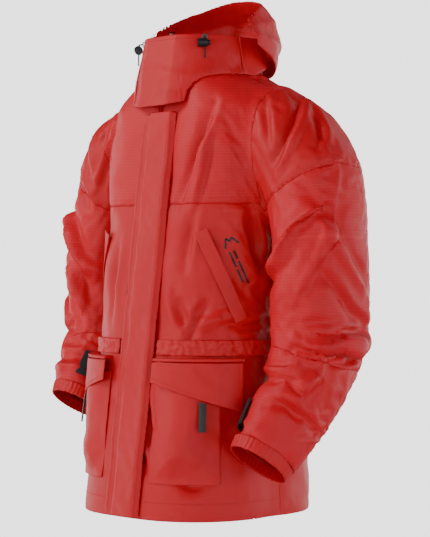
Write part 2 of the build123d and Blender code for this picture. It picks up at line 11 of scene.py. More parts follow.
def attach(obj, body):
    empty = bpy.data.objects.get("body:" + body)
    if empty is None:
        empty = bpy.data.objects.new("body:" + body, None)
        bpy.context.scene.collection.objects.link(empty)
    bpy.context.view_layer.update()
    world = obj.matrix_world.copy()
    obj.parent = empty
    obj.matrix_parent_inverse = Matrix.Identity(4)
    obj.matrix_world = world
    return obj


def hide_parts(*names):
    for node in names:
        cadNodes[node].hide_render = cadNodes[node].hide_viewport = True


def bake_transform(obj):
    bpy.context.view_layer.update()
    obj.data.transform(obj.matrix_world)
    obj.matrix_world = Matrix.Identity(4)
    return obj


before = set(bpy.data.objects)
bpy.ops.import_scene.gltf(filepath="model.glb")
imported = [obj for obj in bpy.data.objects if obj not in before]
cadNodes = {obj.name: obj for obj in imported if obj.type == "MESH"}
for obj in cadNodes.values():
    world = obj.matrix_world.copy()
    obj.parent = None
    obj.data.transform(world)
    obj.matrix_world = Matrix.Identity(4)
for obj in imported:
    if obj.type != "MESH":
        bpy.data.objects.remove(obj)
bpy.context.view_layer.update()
print("frame loaded", len(cadNodes), "nodes")

scene = bpy.context.scene


# the jacket's form, in metres
form = {
    # height, half width, y of the side, y of the front, y of the back, front flat, back flat
    "torso": [
        (-0.800, 0.177, -0.036, -0.2225, 0.147, 0.046, 0.070),
        (-0.774, 0.177, -0.036, -0.2189, 0.147, 0.046, 0.070),
        (-0.640, 0.175, -0.030, -0.201, 0.138, 0.046, 0.068),
        (-0.530, 0.171, -0.026, -0.187, 0.130, 0.046, 0.066),
        (-0.483, 0.166, -0.024, -0.178, 0.124, 0.046, 0.064),
        (-0.430, 0.168, -0.018, -0.173, 0.128, 0.046, 0.064),
        (-0.300, 0.171, -0.008, -0.1559, 0.134, 0.046, 0.066),
        (-0.240, 0.182, -0.004, -0.1479, 0.134, 0.046, 0.070),
        (-0.150, 0.198, 0.000, -0.1359, 0.130, 0.046, 0.074),
        (-0.095, 0.194, 0.000, -0.129, 0.120, 0.046, 0.070),
        (-0.055, 0.178, 0.000, -0.123, 0.106, 0.044, 0.062),
        (-0.020, 0.120, -0.004, -0.1185, 0.088, 0.036, 0.042),
        (0.000, 0.090, -0.010, -0.116, 0.081, 0.033, 0.034),
        (0.030, 0.087, -0.010, -0.112, 0.078, 0.033, 0.034),
    ],
    # centre, direction, radius across the body, radius front to back
    "upperSleeve": [
        ((0.110, 0.000, -0.108), (1.0, 0, -0.22), 0.084, 0.088),
        ((0.160, 0.001, -0.116), (0.93, 0, -0.38), 0.087, 0.089),
        ((0.200, 0.002, -0.138), (0.72, 0, -0.69), 0.088, 0.090),
        ((0.232, 0.003, -0.172), (0.46, 0, -0.89), 0.085, 0.089),
        ((0.250, 0.003, -0.215), (0.25, 0, -0.97), 0.078, 0.089),
        ((0.262, 0.001, -0.300), (0.04, 0, -1.0), 0.070, 0.095),
        ((0.264, 0.000, -0.400), (0.0, 0, -1.0), 0.070, 0.097),
    ],
    "leftForearm": [
        ((0.261, -0.008, -0.490), (-0.06, -0.30, -0.95), 0.068, 0.092),
        ((0.251, -0.066, -0.590), (-0.10, -0.55, -0.83), 0.060, 0.074),
        ((0.239, -0.127, -0.674), (-0.12, -0.58, -0.80), 0.050, 0.058),
        ((0.234, -0.155, -0.712), (-0.12, -0.58, -0.80), 0.048, 0.056),
    ],
    "rightForearm": [
        ((0.264, -0.012, -0.476), (0.0, -0.30, -0.95), 0.070, 0.089),
        ((0.260, -0.060, -0.545), (0.03, -0.52, -0.85), 0.061, 0.069),
        ((0.254, -0.098, -0.602), (0.04, -0.52, -0.85), 0.052, 0.056),
        ((0.255, -0.122, -0.640), (0.04, -0.52, -0.85), 0.050, 0.054),
    ],
    "roundness": 0.76,  # of the torso's corners
    "voxel": 0.0055,
}


def unit(v):
    v = np.asarray(v, float)
    return v / np.linalg.norm(v)


def smoothStep(low, high, x):
    t = np.clip((x - low) / (high - low), 0, 1)
    return t * t * (3 - 2 * t)


def arcThrough(a, b, c, count):
    # points on the circle through three points, from a to c
    (ax, ay), (bx, by), (cx, cy) = a, b, c
    d = 2 * (ax * (by - cy) + bx * (cy - ay) + cx * (ay - by))
    ux = ((ax**2 + ay**2) * (by - cy) + (bx**2 + by**2) * (cy - ay) + (cx**2 + cy**2) * (ay - by)) / d
    uy = ((ax**2 + ay**2) * (cx - bx) + (bx**2 + by**2) * (ax - cx) + (cx**2 + cy**2) * (bx - ax)) / d
    start, middle, end = (math.atan2(y - uy, x - ux) for x, y in (a, b, c))
    turn = 2 * math.pi
    sweep = (end - start) % turn
    if (middle - start) % turn > sweep:
        sweep -= turn
    angles = start + sweep * np.linspace(0, 1, count)
    radius = math.hypot(ax - ux, ay - uy)
    return np.column_stack([ux + radius * np.cos(angles), uy + radius * np.sin(angles)])


def resampleClosed(points, count):
    loop = np.vstack([points, points[:1]])
    steps = np.linalg.norm(np.diff(loop, axis=0), axis=1)
    along = np.concatenate([[0], np.cumsum(steps)])
    targets = np.linspace(0, along[-1], count, endpoint=False)
    return np.column_stack([np.interp(targets, along, loop[:, i]) for i in range(loop.shape[1])])


def sectionOutline(level, count=96):
    # flat front, two arcs round each side, flat back, starting at the front's middle
    z, half, sideY, front, back, frontFlat, backFlat = level
    k = form["roundness"]
    frontCorner = (frontFlat + (half - frontFlat) * k, sideY - (sideY - front) * k)
    backCorner = (backFlat + (half - backFlat) * 0.74, sideY + (back - sideY) * 0.74)
    right = np.vstack([
        [[0, front]],
        arcThrough((frontFlat, front), frontCorner, (half, sideY), 24),
        arcThrough((half, sideY), backCorner, (backFlat, back), 24)[1:],
        [[0, back]],
    ])
    left = right[1:-1][::-1] * [-1, 1]
    outline = resampleClosed(np.vstack([right, left]), count)
    for _ in range(3):
        outline = (outline + (np.roll(outline, 1, 0) + np.roll(outline, -1, 0)) / 2) / 2
    return np.column_stack([outline, np.full(count, z)])


def throughLevels(rings, rows):
    # a Catmull-Rom surface through rings that have the same number of points
    rings = np.asarray(rings)
    last = len(rings) - 1
    out = []
    for t in np.linspace(0, last, rows):
        i = min(int(t), last - 1)
        f = t - i
        p0, p1, p2, p3 = (rings[min(max(i + k, 0), last)] for k in (-1, 0, 1, 2))
        out.append(0.5 * (2 * p1 + (p2 - p0) * f + (2 * p0 - 5 * p1 + 4 * p2 - p3) * f**2
                          + (3 * p1 - p0 - 3 * p2 + p3) * f**3))
    return np.asarray(out)


def sleeveRings(side, count=64):
    spec = form["upperSleeve"] + form["leftForearm" if side > 0 else "rightForearm"]
    rings = []
    angles = np.linspace(0, 2 * math.pi, count, endpoint=False)
    for centre, direction, across, deep in spec:
        mirrored = np.array([side, 1, 1])
        d = unit(np.array(direction) * mirrored)
        u = unit(np.cross([0, 1, 0], d))
        v = np.cross(d, u)
        c = np.array(centre) * mirrored
        rings.append(c + across * np.outer(np.cos(angles), u) + deep * np.outer(np.sin(angles), v))
    return rings


def meshObject(name, vertices, faces, material=None):
    mesh = bpy.data.meshes.new(name)
    mesh.from_pydata([tuple(v) for v in vertices], [], [tuple(f) for f in faces])
    mesh.validate()
    obj = bpy.data.objects.new(name, mesh)
    scene.collection.objects.link(obj)
    if material:
        mesh.materials.append(material)
    return obj


def gridFaces(rows, columns, closed=True):
    faces = []
    for r in range(rows - 1):
        for c in range(columns if closed else columns - 1):
            n = (c + 1) % columns
            faces.append((r * columns + c, r * columns + n, (r + 1) * columns + n, (r + 1) * columns + c))
    return faces


def tubeObject(name, grid, capped=True):
    rows, columns = grid.shape[:2]
    faces = gridFaces(rows, columns)
    if capped:
        faces += [tuple(range(columns))[::-1], tuple(range((rows - 1) * columns, rows * columns))]
    obj = meshObject(name, grid.reshape(-1, 3), faces)
    outwards(obj)
    return obj


def outwards(obj):
    bm = bmesh.new()
    bm.from_mesh(obj.data)
    bmesh.ops.recalc_face_normals(bm, faces=bm.faces)
    bm.to_mesh(obj.data)
    bm.free()


def joined(name, parts):
    bm = bmesh.new()
    for part in parts:
        bm.from_mesh(part.data)
    mesh = bpy.data.meshes.new(name)
    bm.to_mesh(mesh)
    bm.free()
    obj = bpy.data.objects.new(name, mesh)
    scene.collection.objects.link(obj)
    return obj


def dropped(*objects):
    for obj in objects:
        bpy.data.objects.remove(obj, do_unlink=True)


def applied(obj):
    # the object's modifiers made into plain mesh
    graph = bpy.context.evaluated_depsgraph_get()
    mesh = bpy.data.meshes.new_from_object(obj.evaluated_get(graph), depsgraph=graph)
    obj.modifiers.clear()
    obj.data = mesh
    return obj


def coordinates(mesh):
    flat = np.empty(len(mesh.vertices) * 3)
    mesh.vertices.foreach_get("co", flat)
    return flat.reshape(-1, 3)


def setCoordinates(mesh, points):
    mesh.vertices.foreach_set("co", np.asarray(points, float).ravel())
    mesh.update()


def vertexNormals(mesh):
    flat = np.empty(len(mesh.vertices) * 3)
    mesh.vertices.foreach_get("normal", flat)
    return flat.reshape(-1, 3)


def treeOf(obj):
    bm = bmesh.new()
    bm.from_mesh(obj.data)
    tree = BVHTree.FromBMesh(bm)
    bm.free()
    return tree


torsoForm = tubeObject("torsoForm", throughLevels([sectionOutline(v) for v in form["torso"]], 120))
sleeveForms = {
    side: tubeObject(f"sleeveForm{side}", throughLevels(sleeveRings(side), 110)) for side in (1, -1)
}
garment = joined("garment", [torsoForm, *sleeveForms.values()])
remesh = garment.modifiers.new("remesh", "REMESH")
remesh.mode = "VOXEL"
remesh.voxel_size = form["voxel"]
applied(garment)
print("garment", len(garment.data.vertices), "points")


def eyePoint(azimuth, distance=3.2, height=-0.348):
    a = math.radians(azimuth)
    return np.array([math.sin(a) * distance, -math.cos(a) * distance, height])


def castStroke(tree, azimuth, points):
    # a line drawn on the plane that faces this side, dropped onto the surface
    a = math.radians(azimuth)
    across = np.array([math.cos(a), math.sin(a), 0])
    eye = eyePoint(azimuth)
    out = []
    for (u0, z0), (u1, z1) in zip(points, points[1:]):
        count = max(2, int(math.hypot(u1 - u0, z1 - z0) / 0.008))
        for t in np.linspace(0, 1, count, endpoint=False):
            target = across * (u0 + (u1 - u0) * t) + np.array([0, 0, z0 + (z1 - z0) * t])
            hit = tree.ray_cast(Vector(eye), Vector(unit(target - eye)))
            if hit[0]:
                out.append(np.array(hit[0]))
    return np.array(out)


def smoothedLine(line, rounds=4):
    for _ in range(rounds):
        line[1:-1] = (line[:-2] + 2 * line[1:-1] + line[2:]) / 4
    return line


def foldOffsets(points, normals, line, width, height):
    # a ridge (or a crease, below 0) along the line, steep on one side, that fades at both ends
    offset = np.zeros(len(points))
    if len(line) < 3:
        return offset
    low, high = line.min(0) - 3 * width, line.max(0) + 3 * width
    near = np.where(np.all((points > low) & (points < high), axis=1))[0]
    tangent = np.gradient(line, axis=0)
    tangent /= np.linalg.norm(tangent, axis=1)[:, None] + 1e-9
    for start in range(0, len(near), 4000):
        rows = near[start:start + 4000]
        gap = points[rows][:, None] - line[None]
        nearest = np.argmin((gap**2).sum(2), axis=1)
        g = gap[np.arange(len(rows)), nearest]
        t = tangent[nearest]
        t_along = (g * t).sum(1)
        sideways = np.cross(normals[rows], t)
        s = (g * sideways).sum(1) / width
        past = np.maximum(np.abs(t_along) - 0.012, 0) / width
        depth = np.abs((g * normals[rows]).sum(1)) / (4 * width)
        fade = np.sin(np.pi * np.clip((nearest + 0.5) / len(line), 0, 1)) ** 0.6
        shape = np.exp(-(s / np.where(s > 0, 0.75, 1.25)) ** 2) - 0.45 * np.exp(-((s - 1.7) / 0.9) ** 2)
        offset[rows] = height * shape * fade * np.exp(-past**2) * np.exp(-depth**2)
    return offset


def drawFolds(obj, strokes):
    tree = treeOf(obj)
    for azimuth, width, height, line in strokes:
        points, normals = coordinates(obj.data), vertexNormals(obj.data)
        path = castStroke(tree, azimuth, line)
        if len(path) > 2:
            width, height = width * foldScale["width"], height * foldScale["height"]
            move = foldOffsets(points, normals, smoothedLine(path), width, height)
            setCoordinates(obj.data, points + normals * move[:, None])


def noiseAt(points, size, seed):
    shift = Vector((seed * 7.3, seed * 3.1, seed * 1.7))
    return np.array([noise.noise(Vector(p) / size + shift) for p in points])


def smoothed(obj, rounds, factor=0.5, weights=None):
    mesh = obj.data
    edges = np.empty(len(mesh.edges) * 2, dtype=np.int64)
    mesh.edges.foreach_get("vertices", edges)
    edges = edges.reshape(-1, 2)
    points = coordinates(mesh)
    degree = np.bincount(edges.ravel(), minlength=len(points))[:, None].astype(float)
    degree[degree == 0] = 1
    amount = factor if weights is None else factor * weights[:, None]
    for _ in range(rounds):
        total = np.zeros_like(points)
        np.add.at(total, edges[:, 0], points[edges[:, 1]])
        np.add.at(total, edges[:, 1], points[edges[:, 0]])
        points += (total / degree - points) * amount
    setCoordinates(mesh, points)


# every fold: the side it is seen from, its width and height, and its line on that side's plane
foldScale = {"width": 0.85, "height": 1.55}
folds = [
    (45, 0.010, -0.010, [(0.166, -0.027), (0.153, -0.067), (0.130, -0.117), (0.108, -0.168)]),
    (45, 0.009, -0.009, [(0.004, -0.058), (-0.011, -0.094), (-0.038, -0.171), (-0.060, -0.240)]),
    (45, 0.007, 0.006, [(-0.007, -0.117), (-0.018, -0.178), (-0.034, -0.240)]),
    (45, 0.008, 0.006, [(-0.164, -0.029), (-0.173, -0.083), (-0.210, -0.203)]),
    (45, 0.008, 0.004, [(-0.190, -0.060), (-0.200, -0.130)]),
    (45, 0.014, 0.012, [(0.225, -0.213), (0.150, -0.262), (0.130, -0.300), (0.100, -0.375)]),
    (45, 0.011, -0.010, [(0.218, -0.222), (0.146, -0.274), (0.124, -0.312)]),
    (45, 0.009, 0.005, [(0.229, -0.164), (0.226, -0.230), (0.218, -0.277), (0.150, -0.400)]),
    (45, 0.009, -0.004, [(0.099, -0.047), (0.106, -0.120)]),
    (45, 0.007, -0.004, [(0.070, 0.000), (0.119, -0.009)]),
    (45, 0.010, -0.006, [(0.187, -0.061), (0.202, -0.097), (0.191, -0.121)]),
    (45, 0.010, -0.006, [(-0.032, -0.259), (-0.042, -0.300), (-0.047, -0.345)]),
    (45, 0.010, -0.007, [(0.077, -0.252), (0.088, -0.304), (0.088, -0.370)]),
    (45, 0.009, -0.007, [(-0.038, -0.466), (-0.025, -0.434), (-0.013, -0.412)]),
    (45, 0.012, 0.006, [(-0.030, -0.450), (0.010, -0.436), (0.050, -0.448)]),
    (45, 0.010, -0.007, [(0.014, -0.441), (0.065, -0.455), (0.101, -0.441)]),
    (45, 0.012, 0.012, [(0.162, -0.475), (0.209, -0.482), (0.241, -0.472), (0.281, -0.482)]),
    (45, 0.009, -0.010, [(0.160, -0.486), (0.205, -0.494), (0.285, -0.500)]),
    (45, 0.010, 0.007, [(0.165, -0.455), (0.215, -0.455), (0.265, -0.445)]),
    (45, 0.011, -0.006, [(0.074, -0.536), (0.117, -0.547), (0.146, -0.547)]),
    (45, 0.009, -0.008, [(0.110, -0.590), (0.139, -0.590), (0.158, -0.610), (0.184, -0.621)]),
    (45, 0.012, 0.008, [(0.193, -0.533), (0.167, -0.565), (0.155, -0.585)]),
    (45, 0.008, -0.005, [(0.049, -0.617), (0.068, -0.652)]),
    (45, 0.009, -0.008, [(-0.169, -0.598), (-0.153, -0.630), (-0.128, -0.675), (-0.119, -0.711)]),
    (45, 0.012, -0.006, [(-0.110, -0.645), (-0.080, -0.668), (-0.050, -0.700)]),
    (45, 0.012, -0.007, [(-0.063, -0.713), (-0.038, -0.745), (-0.005, -0.729)]),
    (45, 0.009, -0.006, [(-0.120, -0.560), (-0.112, -0.620), (-0.108, -0.690)]),
    (45, 0.011, 0.009, [(-0.290, -0.470), (-0.262, -0.482), (-0.240, -0.478)]),
    (45, 0.009, -0.009, [(-0.285, -0.500), (-0.262, -0.503), (-0.244, -0.500)]),
    (45, 0.012, 0.008, [(-0.283, -0.520), (-0.262, -0.525), (-0.244, -0.520)]),
    (45, 0.011, -0.007, [(-0.250, -0.150), (-0.215, -0.250)]),
    (45, 0.014, 0.010, [(-0.275, -0.290), (-0.250, -0.340), (-0.235, -0.400)]),
    (45, 0.012, -0.007, [(-0.268, -0.330), (-0.250, -0.400), (-0.240, -0.440)]),
    (0, 0.010, -0.006, [(-0.080, -0.300), (-0.085, -0.380), (-0.080, -0.450)]),
    (0, 0.010, -0.006, [(0.110, -0.455), (0.090, -0.425), (0.080, -0.390)]),
    (-45, 0.014, 0.011, [(-0.230, -0.215), (-0.150, -0.265), (-0.100, -0.370)]),
    (-45, 0.011, -0.009, [(-0.165, -0.030), (-0.130, -0.110), (-0.108, -0.168)]),
    (-45, 0.012, 0.008, [(-0.280, -0.330), (-0.200, -0.400), (-0.160, -0.460)]),
    (-45, 0.010, -0.008, [(-0.240, -0.470), (-0.190, -0.475), (-0.150, -0.460)]),
    (90, 0.014, 0.010, [(-0.080, -0.230), (-0.010, -0.330), (0.060, -0.400)]),
    (90, 0.012, -0.008, [(-0.070, -0.340), (0.000, -0.420), (0.070, -0.450)]),
    (90, 0.012, 0.010, [(-0.080, -0.500), (0.000, -0.485), (0.080, -0.470)]),
    (90, 0.010, -0.008, [(-0.080, -0.520), (0.000, -0.510), (0.060, -0.495)]),
    (-90, 0.014, 0.010, [(0.080, -0.230), (0.010, -0.330), (-0.060, -0.400)]),
    (-90, 0.012, -0.008, [(0.070, -0.340), (0.000, -0.420), (-0.070, -0.450)]),
    (-90, 0.012, 0.010, [(0.080, -0.490), (0.000, -0.475), (-0.080, -0.460)]),
    (180, 0.016, 0.008, [(-0.130, -0.120), (-0.060, -0.230), (-0.040, -0.330)]),
    (180, 0.016, 0.008, [(0.130, -0.120), (0.070, -0.230), (0.050, -0.330)]),
    (180, 0.014, -0.008, [(-0.150, -0.300), (-0.060, -0.400), (-0.020, -0.460)]),
    (180, 0.014, -0.008, [(0.150, -0.300), (0.080, -0.400), (0.030, -0.460)]),
    (180, 0.012, 0.008, [(-0.120, -0.380), (0.000, -0.420), (0.120, -0.385)]),
    (180, 0.014, 0.007, [(-0.100, -0.500), (-0.110, -0.600)]),
    (180, 0.014, 0.007, [(0.100, -0.500), (0.115, -0.610)]),
    (180, 0.014, 0.010, [(-0.260, -0.220), (-0.220, -0.330), (-0.200, -0.420)]),
    (180, 0.014, 0.010, [(0.260, -0.220), (0.220, -0.330), (0.200, -0.420)]),
    (135, 0.014, 0.009, [(0.120, -0.250), (0.170, -0.330), (0.200, -0.430)]),
    (-135, 0.014, 0.009, [(-0.120, -0.250), (-0.170, -0.330), (-0.200, -0.430)]),
    (135, 0.011, -0.009, [(0.100, -0.480), (0.160, -0.490), (0.220, -0.480)]),
    (-135, 0.011, -0.009, [(-0.100, -0.480), (-0.160, -0.485), (-0.220, -0.470)]),
]
wrinkles = {"broad": (0.085, 0.0055), "middle": (0.038, 0.0022), "fine": (0.016, 0.0007)}

points = coordinates(garment.data)
armpit = np.exp(-(((np.abs(points[:, 0]) - 0.185) / 0.05) ** 2 + ((points[:, 2] + 0.26) / 0.05) ** 2))
neckSide = np.exp(-(((np.abs(points[:, 0]) - 0.12) / 0.06) ** 2 + ((points[:, 2] + 0.03) / 0.05) ** 2))
smoothed(garment, 6)
smoothed(garment, 40, weights=np.clip(armpit + neckSide, 0, 1))
dropped(torsoForm, *sleeveForms.values())

# below the armpit the trunk and the sleeves stay on their own sides of this width
parting = {"below": -0.285, "trunk": 0.1822, "sleeve": 0.1840}
points = coordinates(garment.data)
lower = points[:, 2] < parting["below"]
ofTrunk = lower & (np.abs(points[:, 0]) < 0.1825)
ofSleeve = lower & ~ofTrunk

drawFolds(garment, folds)
points, normals = coordinates(garment.data), vertexNormals(garment.data)
# quiet where the placket, the pockets and the casing lie on the cloth
front = smoothStep(-0.115, -0.145, points[:, 1]) * smoothStep(0.20, 0.16, np.abs(points[:, 0]))
calm = 1 - 0.75 * front * smoothStep(-0.49, -0.52, points[:, 2])
calm *= 1 - 0.9 * smoothStep(-0.735, -0.755, points[:, 2])
calm *= 1 - 0.8 * smoothStep(0.07, 0.03, np.abs(points[:, 0])) * smoothStep(-0.05, -0.09, points[:, 1])
for seed, (size, height) in enumerate(wrinkles.values()):
    move = height * noiseAt(points, size, seed + 1) * calm
    points += normals * move[:, None]
setCoordinates(garment.data, points)
smoothed(garment, 1, 0.4)
print("folds drawn")

# the garment settles for a moment under its own weight, held softly everywhere and firmly at its seams
settle = {"frames": 12, "spare": 0.020, "hold": 0.18, "gravity": -4.0}


def settleCloth(obj):
    mesh = obj.data
    points = coordinates(mesh)
    firm = np.full(len(points), settle["hold"])
    for height, reach in ((-0.774, 0.03), (-0.483, 0.02), (-0.03, 0.05)):
        body = np.abs(points[:, 0]) < 0.19
        firm = np.maximum(firm, np.where(body, np.exp(-((points[:, 2] - height) / reach) ** 2), 0))
    firm = np.maximum(firm, smoothStep(-0.62, -0.66, points[:, 2]))
    firm = np.maximum(firm, smoothStep(-0.100, -0.125, points[:, 1]))
    group = obj.vertex_groups.new(name="hold")
    levels = np.round(firm * 20).astype(int)
    for level in np.unique(levels):
        group.add([int(i) for i in np.where(levels == level)[0]], level / 20, "REPLACE")
    cloth = obj.modifiers.new("cloth", "CLOTH")
    s = cloth.settings
    s.quality = 5
    s.mass = 0.15
    s.tension_stiffness = s.compression_stiffness = 12
    s.shear_stiffness = 6
    s.bending_stiffness = 0.25
    s.vertex_group_mass = "hold"
    s.pin_stiffness = 0.35
    s.shrink_min = -settle["spare"]
    cloth.collision_settings.use_collision = False
    cloth.collision_settings.use_self_collision = False
    cloth.point_cache.frame_start, cloth.point_cache.frame_end = 1, settle["frames"]
    gravity = tuple(scene.gravity)
    scene.gravity = (0, 0, settle["gravity"])
    for frameNumber in range(1, settle["frames"] + 1):
        scene.frame_set(frameNumber)
    applied(obj)
    scene.frame_set(1)
    scene.gravity = gravity


settleCloth(garment)
print("cloth settled")


points = coordinates(garment.data)
width, way = np.abs(points[:, 0]), np.sign(points[:, 0])
width = np.where(ofTrunk, np.minimum(width, parting["trunk"]), width)
width = np.where(ofSleeve, np.maximum(width, parting["sleeve"]), width)
width = np.where(width > 0.325, 0.325 + (width - 0.325) * 0.6, width)
points[:, 0] = width * way
setCoordinates(garment.data, points)

cuts = {
    "shoulder": 0.183,  # where the yoke meets the sleeve's cap
    "sideSeam": -0.012,
    "yoke": -0.238,
    "backYoke": -0.215,
    "hem": -0.774,
    "neck": -0.004,
    "opening": 0.0068,
    # a point and a direction for each side, left 1 and right -1
    "elbow": {
        1: ((0.260, -0.030, -0.496), (0.22, 0.22, 1)),
        -1: ((-0.262, -0.030, -0.486), (-0.22, 0.22, 1)),
    },
    "armhole": {
        1: ((0.257, 0, -0.208), (0.499, 0, -0.867)),
        -1: ((-0.257, 0, -0.208), (-0.499, 0, -0.867)),
    },
    "cuff": {
        1: ((0.2411, -0.1148, -0.6570), (-0.12, -0.58, -0.80)),
        -1: ((-0.2533, -0.0862, -0.5840), (-0.04, -0.52, -0.85)),
    },
}


def cutAlong(bm, planePoint, planeNormal, where):
    faces = [f for f in bm.faces if where(f.calc_center_median())]
    geometry = set(faces)
    for f in faces:
        geometry.update(f.edges)
        geometry.update(f.verts)
    bmesh.ops.bisect_plane(bm, geom=list(geometry), plane_co=planePoint, plane_no=planeNormal, dist=1e-5)


def beyond(plane, p):
    return (p - Vector(plane[0])).dot(Vector(plane[1])) > 0


bm = bmesh.new()
bm.from_mesh(garment.data)
trunk = lambda p: abs(p.x) <= 0.183
for side in (1, -1):
    arm = lambda p, side=side: p.x * side > 0.183
    cutAlong(bm, (side * cuts["shoulder"], 0, 0), (1, 0, 0), lambda p: p.z > -0.30)
    cutAlong(bm, *map(Vector, cuts["armhole"][side]), arm)
    cutAlong(bm, *map(Vector, cuts["cuff"][side]), arm)
    cutAlong(bm, *map(Vector, cuts["elbow"][side]), arm)
    edge = Vector((side * cuts["opening"], 0, 0))
    cutAlong(bm, edge, Vector((1, 0, 0)), lambda p: p.y < 0 and abs(p.x) < 0.05)
cutAlong(bm, Vector((0, cuts["sideSeam"], 0)), Vector((0, 1, 0)), trunk)
for height in ("yoke", "hem", "neck"):
    cutAlong(bm, Vector((0, 0, cuts[height])), Vector((0, 0, 1)), trunk)
cutAlong(bm, Vector((0, 0, cuts["backYoke"])), Vector((0, 0, 1)), lambda p: trunk(p) and p.y > 0)


def pieceAt(p):
    side = "left" if p.x > 0 else "right"
    sign = 1 if p.x > 0 else -1
    if abs(p.x) > 0.183:
        if beyond(cuts["cuff"][sign], p):
            return None
        if not beyond(cuts["armhole"][sign], p):
            return f"cap_{side}"
        return f"sleeve_{side}" if beyond(cuts["elbow"][sign], p) else f"forearm_{side}"
    if p.z < cuts["hem"] or p.z > cuts["neck"]:
        return None
    if p.y > cuts["sideSeam"]:
        return "back_yoke" if p.z > cuts["backYoke"] else "back"
    if abs(p.x) < cuts["opening"]:
        return None
    return f"yoke_{side}" if p.z > cuts["yoke"] else f"front_{side}"


bm.faces.ensure_lookup_table()
owner = {}
for f in bm.faces:
    key = pieceAt(f.calc_center_median())
    if key:
        owner.setdefault(key, []).append(f)
garmentPieces = {}
for key, faces in owner.items():
    part = bmesh.new()
    made = {}
    for f in faces:
        for v in f.verts:
            if v not in made:
                made[v] = part.verts.new(v.co)
        part.faces.new([made[v] for v in f.verts])
    mesh = bpy.data.meshes.new(key)
    part.to_mesh(mesh)
    part.free()
    garmentPieces[key] = bpy.data.objects.new("fabric_" + key, mesh)
    scene.collection.objects.link(garmentPieces[key])
bm.free()
dropped(garment)
print("garment cut into", {k: len(o.data.polygons) for k, o in garmentPieces.items()})


def sleeveAxis(p):
    # a point's angle round its sleeve and its way along it
    side = 1 if p[0] > 0 else -1
    spec = form["upperSleeve"] + form["leftForearm" if side > 0 else "rightForearm"]
    centres = np.array([s[0] for s in spec]) * [side, 1, 1]
    best = None
    length = 0
    for a, b in zip(centres, centres[1:]):
        d = b - a
        size = np.linalg.norm(d)
        t = np.clip(np.dot(p - a, d) / size**2, 0, 1)
        gap = p - a - d * t
        if best is None or np.dot(gap, gap) < best[0]:
            best = (np.dot(gap, gap), length + t * size, gap)
        length += size
    g = best[2]
    return math.atan2(g[1], g[0]) * 0.083, best[1]


def clothLayout(obj, kind="body"):
    # metres of cloth round the body or the sleeve, and down it, for the weave
    layer = obj.data.uv_layers.get("cloth") or obj.data.uv_layers.new(name="cloth")
    points = coordinates(obj.data)
    if kind == "body":
        flat = np.column_stack([np.arctan2(points[:, 0], -(points[:, 1] + 0.02)) * 0.165, points[:, 2]])
        turn = 2 * math.pi * 0.165
    else:
        flat = np.array([sleeveAxis(p) for p in points])
        turn = 2 * math.pi * 0.083
    for face in obj.data.polygons:
        first = flat[face.vertices[0]][0]
        for corner, vertex in zip(face.loop_indices, face.vertices):
            u, v = flat[vertex]
            u -= turn * round((u - first) / turn)
            layer.data[corner].uv = (u, v)


def smoothShaded(obj):
    obj.data.polygons.foreach_set("use_smooth", [True] * len(obj.data.polygons))
    obj.data.update()


# materials
def group(name, inputs, outputs):
    tree = bpy.data.node_groups.new(name, "ShaderNodeTree")
    for label, kind, value in inputs:
        socket = tree.interface.new_socket(label, in_out="INPUT", socket_type=kind)
        if value is not None:
            socket.default_value = value
    for label, kind in outputs:
        tree.interface.new_socket(label, in_out="OUTPUT", socket_type=kind)
    return tree, tree.nodes.new("NodeGroupInput"), tree.nodes.new("NodeGroupOutput")


def mathNode(tree, operation, a, b=None, c=None):
    node = tree.nodes.new("ShaderNodeMath")
    node.operation = operation
    for i, value in enumerate((a, b, c)):
        if value is None:
            continue
        if isinstance(value, (int, float)):
            node.inputs[i].default_value = value
        else:
            tree.links.new(value, node.inputs[i])
    return node.outputs[0]


